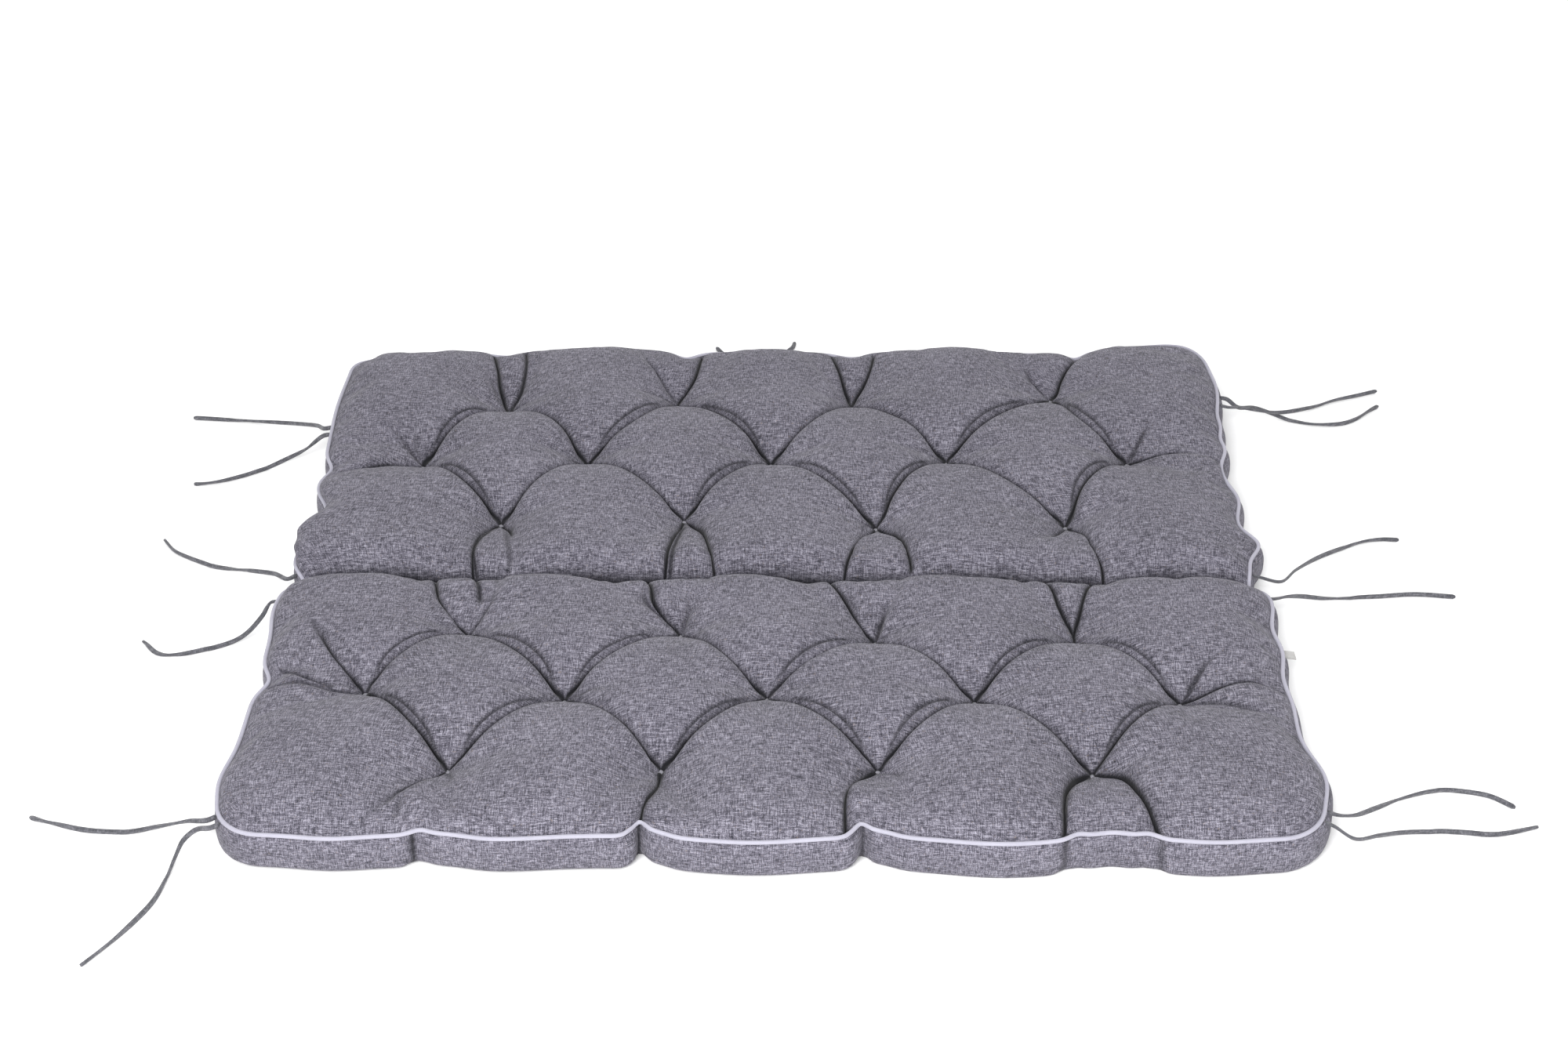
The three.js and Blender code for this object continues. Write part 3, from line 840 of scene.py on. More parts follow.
@dataclass(frozen=True)
class CoverShape:
    """Outline, seam and filling of the cover, from the same sizes as its solid."""

    width: float = 1.200
    depth: float = 1.100
    near_depth: float = 0.505
    seam_height: float = 0.050
    crown_height: float = 0.076
    tuft_height: float = 0.040
    hinge_top: float = 0.027
    hinge_underside: float = 0.014
    outer_tuft_x: float = 0.480
    corner_radius: float = 0.048
    crease_share: float = 0.60
    crease_power: float = 0.72
    pillow_power: float = 0.36
    lead_share: float = 0.80
    lead_fill: float = 0.55
    edge_rounding: float = 0.088
    hinge_rounding: float = 0.052
    underside_tuft: float = 0.009
    underside_tuft_width: float = 0.030
    hinge_stop: int = 4
    tuft_reach: float = 0.062
    wave_fade: float = 0.055
    overhang_reach: float = 0.030
    full_overhang: float = 0.034
    band_out: float = 0.0062
    band_bulge: tuple[float, float, float, float] = (0.9, 1.9, 1.2, 1.1)
    band_fullness: float = 0.4
    foot_inset: tuple[float, float, float] = (0.013, 0.001, 0.300)
    foot_share: float = 0.13
    fold_share: float = 0.25
    groove_reach: float = 0.045

    def row_y(self, stop: np.ndarray) -> np.ndarray:
        """Even depth of a place counted in row stops."""
        return np.interp(stop, range(len(ROW_STOPS)), ROW_STOPS)

    def pillow_share(self, x: np.ndarray, stop: np.ndarray) -> np.ndarray:
        """Share of the crown: 0 on a tuft, 1 in the middle of a pillow.

        Args:
            x: Even place across.
            stop: Even place in row stops.

        Returns:
            The share.
        """
        in_panel = np.where(stop < self.hinge_stop, stop, stop - self.hinge_stop)
        straight = x - self.skew(x, stop)
        across = np.clip(straight, -self.outer_tuft_x, self.outer_tuft_x) / TUFT_PITCH
        along = (np.clip(in_panel, 1, 3) - 2) / 2
        first = np.abs(np.sin(np.pi * (across + along)))
        second = np.abs(np.sin(np.pi * (across - along)))
        beyond = (np.abs(x) - self.outer_tuft_x) / (self.width / 2 - self.outer_tuft_x)
        past = np.maximum.reduce([1 - in_panel, in_panel - 3, beyond, np.zeros_like(x)])
        lead = np.sin(np.pi / 2 * past) * self.lead_share
        crease = self.crease_share * np.maximum.reduce([first, second, lead]) ** self.crease_power
        pillow = np.maximum(first * second, self.lead_fill * lead * lead)
        return crease + (1 - self.crease_share) * pillow**self.pillow_power

    def skew(self, x: np.ndarray, stop: np.ndarray) -> np.ndarray:
        """How far the lead from a row's end tufts to the next edge runs aside.

        Args:
            x: Even place across.
            stop: Even place in row stops.

        Returns:
            The offset across, 0 between the rows of tufts.
        """
        total = np.zeros_like(x)
        for row in TUFT_ROWS:
            if row.stop not in LEAD_SKEWS:
                continue
            to_edge = -1 if row.stop in (1, 5) else 1
            past = np.clip((stop - row.stop) * to_edge, 0, 1)
            past = np.where(np.abs(stop - row.stop) <= 1, past, 0.0)
            tufts = [tuft_x for tuft_x, _ in row.even_places()]
            ends = [-self.width / 2, *tufts, self.width / 2]
            total += past * np.interp(x, ends, [0.0, *LEAD_SKEWS[row.stop], 0.0])
        return total

    def seam_z(self, y: np.ndarray) -> np.ndarray:
        """Height of the seam, which dips into the hinge at both ends."""
        opened = rounded(np.abs(y - self.near_depth), self.hinge_rounding)
        return lerp(self.hinge_top, self.seam_height, opened)

    def top_z(self, x: np.ndarray, stop: np.ndarray) -> np.ndarray:
        """Height of the quilted top.

        Args:
            x: Even place across.
            stop: Even place in row stops.

        Returns:
            The height above the floor.
        """
        y = self.row_y(stop)
        full = lerp(self.tuft_height, self.crown_height, self.pillow_share(x, stop))
        side = rounded(self.width / 2 - np.abs(x), self.edge_rounding)
        end = rounded(np.minimum(y, self.depth - y), self.edge_rounding)
        opened = rounded(np.abs(y - self.near_depth), self.hinge_rounding)
        return lerp(self.hinge_top, lerp(self.seam_height, full, side * end), opened)

    def round_corner(self, x: np.ndarray, y: np.ndarray) -> tuple[np.ndarray, np.ndarray]:
        """Draw the square corners of the even grid to round ones.

        Args:
            x: Even place across.
            y: Even place in the depth.

        Returns:
            The drawn x and y.
        """
        radius = self.corner_radius
        to_x = radius - (self.width / 2 - np.abs(x))
        to_y = radius - np.minimum(y, self.depth - y)
        inside = (to_x > 0) & (to_y > 0)
        slant = np.maximum(np.hypot(to_x, to_y), NOT_ZERO)
        share = np.where(inside, np.maximum(to_x, to_y) / slant, 1.0)
        far_x = np.sign(x) * (self.width / 2 - radius + to_x * share)
        near_y = radius - to_y * share
        far_y = np.where(y < self.depth / 2, near_y, self.depth - near_y)
        return np.where(inside, far_x, x), np.where(inside, far_y, y)

    def placed(self, x: np.ndarray, stop: np.ndarray) -> tuple[np.ndarray, np.ndarray]:
        """Where an even place of the cover really lies.

        Args:
            x: Even place across.
            stop: Even place in row stops.

        Returns:
            Real x and y, with corners, tufts, bulges and pleats.
        """
        y = self.row_y(stop)
        real_x, real_y = self.round_corner(x, y)
        for row in TUFT_ROWS:
            for (even_x, even_y), tuft_x, tuft_y in zip(row.even_places(), row.x, row.y):
                share = bell(np.hypot(x - even_x, y - even_y), self.tuft_reach)
                real_x = real_x + (tuft_x - even_x) * share
                real_y = real_y + (tuft_y - even_y) * share
        half = self.width / 2
        real_y = real_y - sum_of_waves(SEAM_WAVES, Side.FRONT, x) * np.exp(-y / self.wave_fade)
        real_y = real_y + sum_of_waves(SEAM_WAVES, Side.BACK, x) * np.exp((y - self.depth) / self.wave_fade)
        for side, sign in ((Side.LEFT, -1), (Side.RIGHT, 1)):
            distance = half - sign * x
            wave = sum_of_waves(SEAM_WAVES, side, y) * np.exp(-distance / self.wave_fade)
            share = distance / self.overhang_reach
            wave = wave + sum_of_waves(OVERHANGS, side, y) * share * np.exp(1 - share)
            real_x = real_x + sign * wave
        return real_x, real_y

    def seam_line(self, x: np.ndarray, stop: np.ndarray) -> dict[str, np.ndarray]:
        """The closed seam through even places round the edge.

        Args:
            x: Even places across, anticlockwise seen from above.
            stop: Their places in row stops.

        Returns:
            Real x, y, z, the outward direction and how far the seam is tucked under.
        """
        y = self.row_y(stop)
        real_x, real_y = self.placed(x, stop)
        ahead = np.stack([np.roll(values, -1) - np.roll(values, 1) for values in (real_x, real_y)])
        ahead = ahead / np.linalg.norm(ahead, axis=0)
        tuck = np.zeros_like(x)
        for side, sign in ((Side.LEFT, -1), (Side.RIGHT, 1)):
            edge = sign * x > self.width / 2 - TINY
            tuck += np.where(edge, sum_of_waves(OVERHANGS, side, y) / self.full_overhang, 0.0)
        return {
            "x": real_x,
            "y": real_y,
            "z": self.seam_z(y),
            "out_x": ahead[1],
            "out_y": -ahead[0],
            "tuck": np.clip(tuck, 0, 1),
            "foot": self.foot_z(y),
            "fold": np.where(stop < TINY, sum_of_waves(BAND_FOLDS, Side.FRONT, x), 0.0),
        }

    def foot_z(self, y: np.ndarray) -> np.ndarray:
        """Height of the underside's hinge groove."""
        return self.hinge_underside * np.clip(1 - np.abs(y - self.near_depth) / self.groove_reach, 0, 1)

    def band(self, seam: dict[str, np.ndarray], level: np.ndarray) -> np.ndarray:
        """Places on the side band.

        Args:
            seam: The seam's facts for each place.
            level: 1 at the seam, 0 at the underside.

        Returns:
            Real places, one a row.
        """
        front, right, back, left = self.band_bulge
        across = np.where(seam["out_x"] > 0, right, left)
        along = np.where(seam["out_y"] > 0, back, front)
        bulge = lerp(along, across, seam["out_x"] ** 2)
        fullness = np.sin(np.pi * np.clip(level, 0, 1)) ** self.band_fullness
        rise = seam["z"] - seam["foot"]
        out = self.band_out * bulge * fullness * rise / self.seam_height
        inset_left, inset_right, until = self.foot_inset
        half = self.width / 2
        inset = lerp(inset_left, inset_right, np.clip((seam["x"] + half) / (until + half), 0, 1))
        out = out - inset * np.clip(1 - level / self.foot_share, 0, 1) ** 2
        out = out - seam["fold"] * np.clip((1 - level) / self.fold_share, 0, 1)
        z = seam["foot"] + rise * level
        return np.stack([seam["x"] + seam["out_x"] * out, seam["y"] + seam["out_y"] * out, z], axis=1)

    def under_z(self, x: np.ndarray, y: np.ndarray) -> np.ndarray:
        """Height of the underside: flat but for the hinge groove and the tufts' dimples.

        Args:
            x: Even place across.
            y: Even place in the depth.

        Returns:
            The height above the floor.
        """
        lift = self.foot_z(y)
        for tuft_x, tuft_y in EVEN_TUFTS:
            distance = np.hypot(x - tuft_x, y - tuft_y)
            lift = np.maximum(lift, self.underside_tuft * np.exp(-distance / self.underside_tuft_width))
        return lift


# Folds between the rows of tufts, each from the further row to the nearer one
FOLDS = (
    FoldRow(3, 2,
        ((0.005, 0.016, 0.019), (0.004, 0.017, 0.0), (0.003, 0.014, 0.0), (0.005, 0.016, 0.017)),
        ((-0.014, 0.009, 0.019), (-0.008, 0.012, 0.017), (-0.004, 0.009, 0.020), (-0.007, 0.011, 0.017))),
    FoldRow(2, 1,
        ((0.004, 0.015, 0.015), (0.005, 0.017, 0.0), (0.003, 0.013, 0.017), (0.005, 0.015, 0.0)),
        ((-0.004, 0.011, 0.017), (-0.005, 0.013, 0.015), (-0.003, 0.010, 0.019), (-0.004, 0.010, 0.015))),
    FoldRow(7, 6,
        ((0.003, 0.015, 0.0), (0.005, 0.016, 0.015), (0.004, 0.015, 0.0), (0.003, 0.014, 0.017)),
        ((-0.004, 0.013, 0.017), (-0.004, 0.011, 0.019), (-0.003, 0.011, 0.0), (-0.005, 0.013, 0.017))),
    FoldRow(6, 5,
        ((0.005, 0.015, 0.017), (0.003, 0.016, 0.0), (0.005, 0.017, 0.017), (0.004, 0.014, 0.0)),
        ((-0.004, 0.011, 0.0), (-0.003, 0.011, 0.017), (-0.004, 0.010, 0.015), (-0.004, 0.011, 0.017))),
)

# Lines of the two deep folds that hook into the front piping
LEFT_HOOK = ((-0.120, 0.125), (-0.124, 0.085), (-0.136, 0.038), (-0.143, -0.004))
RIGHT_HOOK = ((0.120, 0.125), (0.096, 0.092), (0.081, 0.046), (0.080, -0.004))

# Folds from tufts to the edges and the hinge: line, depth, width, pinch, dark (strength of painted shade),
# fades, rise, gather
LEADS = (
    # To the front edge
    Crease(((-0.360, 0.125), (-0.379, 0.100), (-0.410, 0.055), (-0.447, 0.006)),
        0.010, 0.006, 0.6, 0.8, (0.02, 0.7)),
    Crease(((-0.401, 0.052), (-0.408, 0.012)),
        0.004, 0.005, 0.4, 0.3, (0.3, 0.3)),
    Crease(((-0.366, 0.118), (-0.352, 0.100), (-0.349, 0.085)),
        0.004, 0.005, 0.4, 0.3, (0.1, 0.5)),
    Crease(LEFT_HOOK, 0.009, 0.016, 0.2, 0.0, (0.02, 0.02), (0.20, 0.02), 0.030),
    Crease(LEFT_HOOK, 0.014, 0.006, 0.7, 1.0, (0.02, 0.02), dark_width=0.0060),
    Crease(((-0.116, 0.124), (-0.085, 0.132), (-0.055, 0.130)),
        0.004, 0.005, 0.4, 0.3, (0.1, 0.6)),
    Crease(RIGHT_HOOK, 0.009, 0.016, 0.2, 0.0, (0.02, 0.02), (0.20, 0.02), 0.030),
    Crease(RIGHT_HOOK, 0.016, 0.006, 0.7, 1.0, (0.02, 0.02), dark_width=0.0068),
    Crease(((0.120, 0.125), (0.140, 0.108), (0.150, 0.078)),
        0.006, 0.006, 0.4, 0.35, (0.05, 0.7)),
    Crease(((0.360, 0.125), (0.338, 0.103), (0.322, 0.050), (0.316, -0.004)),
        0.014, 0.006, 0.6, 1.0, (0.02, 0.06), dark_width=0.0052),
    Crease(((0.360, 0.125), (0.388, 0.108), (0.405, 0.064), (0.422, -0.002)),
        0.014, 0.006, 0.6, 0.9, (0.02, 0.08), dark_width=0.0050),
    # To the left and right edge of the near panel
    Crease(((-0.480, 0.250), (-0.509, 0.294), (-0.532, 0.344), (-0.548, 0.372)),
        0.010, 0.005, 0.6, 0.80, (0.02, 0.4)),
    Crease(((-0.491, 0.256), (-0.518, 0.300), (-0.547, 0.366), (-0.560, 0.388)),
        0.006, 0.005, 0.5, 0.55, (0.10, 0.4)),
    Crease(((-0.510, 0.248), (-0.546, 0.267), (-0.592, 0.294)),
        0.007, 0.005, 0.5, 0.55, (0.10, 0.2)),
    Crease(((-0.480, 0.250), (-0.520, 0.244), (-0.560, 0.255), (-0.597, 0.249)),
        0.006, 0.005, 0.5, 0.55, (0.02, 0.2)),
    Crease(((0.480, 0.250), (0.523, 0.264), (0.565, 0.271), (0.600, 0.258)),
        0.011, 0.006, 0.6, 0.80, (0.02, 0.15)),
    Crease(((0.480, 0.250), (0.530, 0.232), (0.572, 0.204)),
        0.005, 0.005, 0.4, 0.50, (0.05, 0.4)),
    Crease(((0.480, 0.250), (0.504, 0.288), (0.528, 0.322)),
        0.007, 0.005, 0.5, 0.60, (0.05, 0.5)),
    # From the near panel to the hinge
    Crease(((-0.360, 0.375), (-0.389, 0.410), (-0.408, 0.447), (-0.420, 0.500)),
        0.012, 0.005, 0.6, 0.90, (0.02, 0.15)),
    Crease(((-0.370, 0.382), (-0.398, 0.415), (-0.424, 0.462)),
        0.006, 0.005, 0.5, 0.5, (0.1, 0.4)),
    Crease(((-0.360, 0.375), (-0.342, 0.415), (-0.331, 0.456)),
        0.006, 0.006, 0.4, 0.50, (0.05, 0.6)),
    Crease(((-0.353, 0.420), (-0.363, 0.466), (-0.374, 0.504)),
        0.007, 0.005, 0.4, 0.70, (0.30, 0.05)),
    Crease(((-0.120, 0.375), (-0.144, 0.422), (-0.151, 0.468), (-0.158, 0.501)),
        0.012, 0.005, 0.6, 0.95, (0.02, 0.06)),
    Crease(((-0.130, 0.382), (-0.157, 0.420), (-0.166, 0.466)),
        0.006, 0.005, 0.5, 0.5, (0.1, 0.4)),
    Crease(((-0.120, 0.375), (-0.108, 0.418), (-0.102, 0.450)),
        0.006, 0.006, 0.4, 0.4, (0.05, 0.6)),
    Crease(((0.120, 0.375), (0.095, 0.415), (0.081, 0.456), (0.067, 0.500)),
        0.012, 0.005, 0.6, 0.90, (0.02, 0.12)),
    Crease(((0.120, 0.375), (0.130, 0.405), (0.141, 0.438)),
        0.008, 0.005, 0.5, 0.6, (0.05, 0.5)),
    Crease(((0.110, 0.382), (0.100, 0.425), (0.094, 0.470)),
        0.005, 0.005, 0.4, 0.35, (0.2, 0.5)),
    Crease(((0.360, 0.375), (0.350, 0.424), (0.344, 0.470), (0.330, 0.500)),
        0.010, 0.005, 0.6, 0.85, (0.02, 0.08)),
    Crease(((0.360, 0.375), (0.374, 0.422), (0.389, 0.467), (0.404, 0.500)),
        0.010, 0.005, 0.6, 0.85, (0.02, 0.08)),
    # From the far panel to the hinge
    Crease(((-0.360, 0.650), (-0.376, 0.618), (-0.380, 0.562), (-0.376, 0.507)),
        0.012, 0.006, 0.6, 0.90, (0.02, 0.06)),
    Crease(((-0.364, 0.634), (-0.371, 0.585), (-0.372, 0.540), (-0.363, 0.507)),
        0.007, 0.005, 0.5, 0.70, (0.10, 0.08)),
    Crease(((-0.352, 0.632), (-0.339, 0.580), (-0.331, 0.538), (-0.329, 0.508)),
        0.003, 0.004, 0.3, 0.35, (0.20, 0.10)),
    Crease(((-0.360, 0.650), (-0.340, 0.618), (-0.332, 0.582)),
        0.009, 0.006, 0.5, 0.80, (0.02, 0.6)),
    Crease(((-0.120, 0.650), (-0.129, 0.603), (-0.134, 0.551), (-0.136, 0.507)),
        0.012, 0.006, 0.6, 0.85, (0.02, 0.06)),
    Crease(((-0.117, 0.634), (-0.119, 0.585), (-0.123, 0.540), (-0.124, 0.507)),
        0.007, 0.005, 0.5, 0.65, (0.10, 0.08)),
    Crease(((-0.120, 0.650), (-0.094, 0.614), (-0.079, 0.563), (-0.071, 0.508)),
        0.013, 0.006, 0.6, 0.95, (0.02, 0.10)),
    Crease(((0.120, 0.650), (0.107, 0.610), (0.100, 0.554), (0.089, 0.506)),
        0.012, 0.006, 0.6, 0.85, (0.02, 0.06)),
    Crease(((0.112, 0.620), (0.106, 0.585), (0.096, 0.548)),
        0.006, 0.005, 0.5, 0.50, (0.15, 0.4)),
    Crease(((0.120, 0.650), (0.150, 0.614), (0.169, 0.568), (0.175, 0.510)),
        0.012, 0.006, 0.6, 0.85, (0.02, 0.15)),
    Crease(((0.360, 0.650), (0.388, 0.614), (0.408, 0.562), (0.418, 0.507)),
        0.013, 0.006, 0.6, 0.95, (0.02, 0.08)),
    Crease(((0.366, 0.628), (0.395, 0.587), (0.407, 0.531)),
        0.005, 0.004, 0.4, 0.45, (0.20, 0.3)),
    Crease(((0.360, 0.650), (0.350, 0.615), (0.349, 0.585)),
        0.007, 0.006, 0.5, 0.50, (0.02, 0.6)),
    # To the left and right edge of the far panel
    Crease(((-0.480, 0.800), (-0.512, 0.785), (-0.542, 0.762), (-0.575, 0.722)),
        0.010, 0.006, 0.6, 0.75, (0.02, 0.4)),
    Crease(((-0.480, 0.800), (-0.500, 0.825), (-0.522, 0.862)),
        0.006, 0.005, 0.5, 0.45, (0.05, 0.6)),
    Crease(((-0.480, 0.800), (-0.487, 0.830), (-0.492, 0.870)),
        0.004, 0.005, 0.4, 0.3, (0.2, 0.6)),
    Crease(((0.480, 0.800), (0.506, 0.806), (0.540, 0.806), (0.573, 0.799), (0.600, 0.781)),
        0.012, 0.006, 0.6, 0.90, (0.02, 0.10)),
    Crease(((0.480, 0.800), (0.500, 0.840), (0.520, 0.880)),
        0.006, 0.005, 0.5, 0.50, (0.05, 0.5)),
    # To the far edge
    Crease(((-0.360, 0.950), (-0.369, 0.974), (-0.384, 1.012), (-0.405, 1.098)),
        0.013, 0.006, 0.6, 0.95, (0.02, 0.06)),
    Crease(((-0.360, 0.950), (-0.350, 0.980), (-0.350, 1.012), (-0.355, 1.092)),
        0.009, 0.006, 0.5, 0.75, (0.02, 0.10)),
    Crease(((-0.364, 0.954), (-0.388, 0.985), (-0.404, 1.025)),
        0.005, 0.005, 0.4, 0.3, (0.1, 0.5)),
    Crease(((-0.120, 0.950), (-0.107, 1.003), (-0.104, 1.052), (-0.100, 1.099)),
        0.013, 0.006, 0.6, 0.95, (0.02, 0.06)),
    Crease(((-0.120, 0.950), (-0.142, 0.985), (-0.165, 1.022), (-0.193, 1.075)),
        0.006, 0.006, 0.5, 0.40, (0.02, 0.5)),
    Crease(((0.120, 0.950), (0.110, 0.984), (0.092, 1.054), (0.082, 1.100)),
        0.012, 0.006, 0.6, 0.90, (0.02, 0.06)),
    Crease(((0.120, 0.950), (0.130, 0.982), (0.137, 1.016), (0.148, 1.088)),
        0.011, 0.006, 0.6, 0.80, (0.02, 0.12)),
    Crease(((0.360, 0.950), (0.388, 0.990), (0.424, 1.048), (0.440, 1.097)),
        0.014, 0.006, 0.6, 1.00, (0.02, 0.06)),
    Crease(((0.360, 0.950), (0.350, 0.985), (0.363, 1.064)),
        0.006, 0.006, 0.5, 0.40, (0.02, 0.6)),
    # The hinge itself: no depth and no pinch, only a line of painted shade
    Crease(((-0.597, 0.505), (0.0, 0.505), (0.597, 0.505)),
        0.0, 0.005, 0.0, 1.0, (0.02, 0.02), dark_width=0.0075),
)

# Upright folds of the front band, pressed in and darkened with painted shade
BAND_FOLDS = (
    Wave(Side.FRONT, -0.388, 0.010, 0.005),
    Wave(Side.FRONT, -0.143, 0.010, 0.005),
    Wave(Side.FRONT, 0.100, 0.008, 0.005),
    Wave(Side.FRONT, 0.318, 0.007, 0.006),
    Wave(Side.FRONT, 0.424, 0.006, 0.006),
)


class Mesh:
    """Helpers that turn operator-made cells into finished objects."""

    @staticmethod
    def from_bmesh(name: str, shape: bmesh.types.BMesh, finish: bpy.types.Material) -> bpy.types.Object:
        """Make an object of a bmesh, which is freed.

        Args:
            name: The piece's name.
            shape: Its cells.
            finish: Its material.

        Returns:
            The object, linked to the scene and smooth.
        """
        data = bpy.data.meshes.new(name)
        shape.to_mesh(data)
        shape.free()
        data.materials.append(finish)
        data.polygons.foreach_set("use_smooth", [True] * len(data.polygons))
        piece = bpy.data.objects.new(name, data)
        bpy.context.scene.collection.objects.link(piece)
        return piece

    @staticmethod
    def places(data: bpy.types.Mesh) -> np.ndarray:
        """Read a mesh's vertex places.

        Args:
            data: The mesh.

        Returns:
            The places, one a row.
        """
        flat = np.empty(len(data.vertices) * 3)
        data.vertices.foreach_get("co", flat)
        return flat.reshape(-1, 3)

    @staticmethod
    def move(data: bpy.types.Mesh, places: np.ndarray) -> None:
        """Set a mesh's vertex places."""
        data.vertices.foreach_set("co", places.astype(np.float32).ravel())
        data.update()

    @staticmethod
    def tube(rings: int, sides: int) -> bmesh.types.BMesh:
        """Cells of a tube: x counts the rings and y the sides, both from 0 to 1.

        Args:
            rings: Cells along it.
            sides: Cells round it.

        Returns:
            An open grid with its cloth coordinates, to be bent and merged.
        """
        shape = bmesh.new()
        shape.loops.layers.uv.new("cloth")
        middle = Matrix.Translation((0.5, 0.5, 0.0))
        bmesh.ops.create_grid(
            shape, x_segments=rings, y_segments=sides, size=0.5, matrix=middle, calc_uvs=True
        )
        return shape

    @staticmethod
    def close_tube(shape: bmesh.types.BMesh, length: float, girth: float) -> None:
        """Scale a bent tube's cloth coordinates to metres, then merge and close it.

        Args:
            shape: The tube, which is changed.
            length: Length along it.
            girth: Length round it.
        """
        layer = shape.loops.layers.uv.active
        for corner in (loop for face in shape.faces for loop in face.loops):
            place = corner[layer].uv
            place.x *= length
            place.y *= girth
        bmesh.ops.remove_doubles(shape, verts=shape.verts, dist=TINY)
        ends = [edge for edge in shape.edges if edge.is_boundary]
        if ends:
            bmesh.ops.holes_fill(shape, edges=ends, sides=0)
        bmesh.ops.recalc_face_normals(shape, faces=shape.faces)

    @staticmethod
    def add_stitch(
        shape: bmesh.types.BMesh, radius: float, length: float, sides: int, place: Matrix
    ) -> None:
        """Add one straight stitch to a shape.

        Args:
            shape: The shape, which is changed.
            radius: The thread's radius.
            length: The stitch's length.
            sides: Sides of the thread.
            place: Its middle and turn, the stitch lying along Z.
        """
        bmesh.ops.create_cone(
            shape, cap_ends=True, segments=sides, radius1=radius, radius2=radius, depth=length, matrix=place
        )


def ride(piece: bpy.types.Object, slot: Slot, *nodes: str) -> bpy.types.Object:
    """Fix a piece to the body and hide the solids that it stands for.

    Args:
        piece: The piece.
        slot: The record's slot for its finish; not used.
        nodes: Names of the solids.

    Returns:
        The piece.
    """
    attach(piece, BODY)
    if nodes:
        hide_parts(*nodes)
    replaced = ", ".join(nodes) or "none"
    LOG.info("%s: %d vertices, stands for %s", piece.name, len(piece.data.vertices), replaced)
    return piece


@dataclass
class Camera:
    """The photograph's viewpoint, worked out from the cushion's even grid of tufts."""

    place: Point = (-0.011286, -2.678681, 1.765524)
    pitch: float = 0.556029861
    yaw: float = 0.00541561883
    roll: float = -0.00687536384
    lens: float = 57.6
    sensor: float = 36.0

    def build(self) -> bpy.types.Object:
        """Make the camera and set it as the scene's.

        Returns:
            The camera.
        """
        level = math.cos(self.pitch)
        ahead = Vector((math.sin(self.yaw) * level, math.cos(self.yaw) * level, -math.sin(self.pitch)))
        level_right = Vector((math.cos(self.yaw), -math.sin(self.yaw), 0.0))
        level_up = level_right.cross(ahead)
        right = level_right * math.cos(self.roll) - level_up * math.sin(self.roll)
        up = level_right * math.sin(self.roll) + level_up * math.cos(self.roll)
        data = bpy.data.cameras.new("camera")
        data.lens = self.lens
        data.sensor_width = self.sensor
        camera = bpy.data.objects.new("camera", data)
        turn = Matrix((right, up, -ahead)).transposed().to_4x4()
        camera.matrix_world = Matrix.Translation(self.place) @ turn
        bpy.context.scene.collection.objects.link(camera)
        bpy.context.scene.camera = camera
        return camera


@dataclass
class TieTape:
    """One flat tie tape that leaves the seam, falls to the floor and ends bare.

    Turns are half turns about its line. The end's share and slope narrow the tape at both ends.
    """

    name: str
    route: tuple[Point, ...]
    turns: float
    start_turn: float = 0.0
    width: float = 0.006
    thickness: float = 0.0036
    spacing: float = 0.003
    sides: int = 10
    floor: float = 0.0003
    floor_gap: float = 0.0002
    turn_wave: float = 0.13
    edge_power: float = 0.7
    end_share: float = 0.55
    end_slope: float = 4.0

    def twists(self, share: np.ndarray) -> np.ndarray:
        """The tape's turn about its line, in radians, at shares of its length."""
        wave = self.turn_wave * np.sin(2 * np.pi * (share + self.turns))
        return math.pi * (self.start_turn + self.turns * (share + wave))

    def section(self, angle: float) -> tuple[float, float]:
        """Flat and thick parts, -1 to 1, of the tape's round-edged section at an angle in radians."""
        parts = (math.cos(angle), math.sin(angle))
        return tuple(math.copysign(abs(part) ** self.edge_power, part) for part in parts)

    def build(self, finish: bpy.types.Material) -> bpy.types.Object:
        """Sweep the tape along its route with its twists.

        Args:
            finish: The tape's material.

        Returns:
            The piece.
        """
        line = smooth_route(np.array(self.route) - ORIGIN, self.spacing)
        steps = np.diff(line, axis=0)
        length = float(np.linalg.norm(steps, axis=1).sum())
        share = np.linspace(0, 1, len(line))
        twist = self.twists(share)
        half = 0.5 * np.hypot(self.width * np.sin(twist), self.thickness * np.cos(twist))
        line[:, 2] = np.maximum(line[:, 2], self.floor + half + self.floor_gap)
        ahead = np.gradient(line, axis=0)
        ahead /= np.linalg.norm(ahead, axis=1)[:, None]
        across = np.cross(ahead, [0.0, 0.0, 1.0])
        across /= np.linalg.norm(across, axis=1)[:, None]
        up = np.cross(across, ahead)
        broad = across * np.cos(twist)[:, None] + up * np.sin(twist)[:, None]
        thin = np.cross(ahead, broad)
        shape = Mesh.tube(len(line) - 1, self.sides)
        for vertex in shape.verts:
            ring = round(vertex.co.x * (len(line) - 1))
            flat, thick = self.section(2 * math.pi * vertex.co.y)
            to_end = min(share[ring], 1 - share[ring]) * length
            end = min(1.0, self.end_share + self.end_slope * to_end / self.width)
            spot = line[ring] + broad[ring] * (flat * self.width / 2 * end)
            spot = spot + thin[ring] * (thick * self.thickness / 2)
            vertex.co = (spot[0], spot[1], max(spot[2], self.floor))
        Mesh.close_tube(shape, length, 2 * self.width)
        tape = Mesh.from_bmesh(self.name.replace("tie_", "tape_"), shape, finish)
        ride(tape, Slot.TIE, self.name)
        LOG.info("%s: %.3f m long", tape.name, length)
        return tape


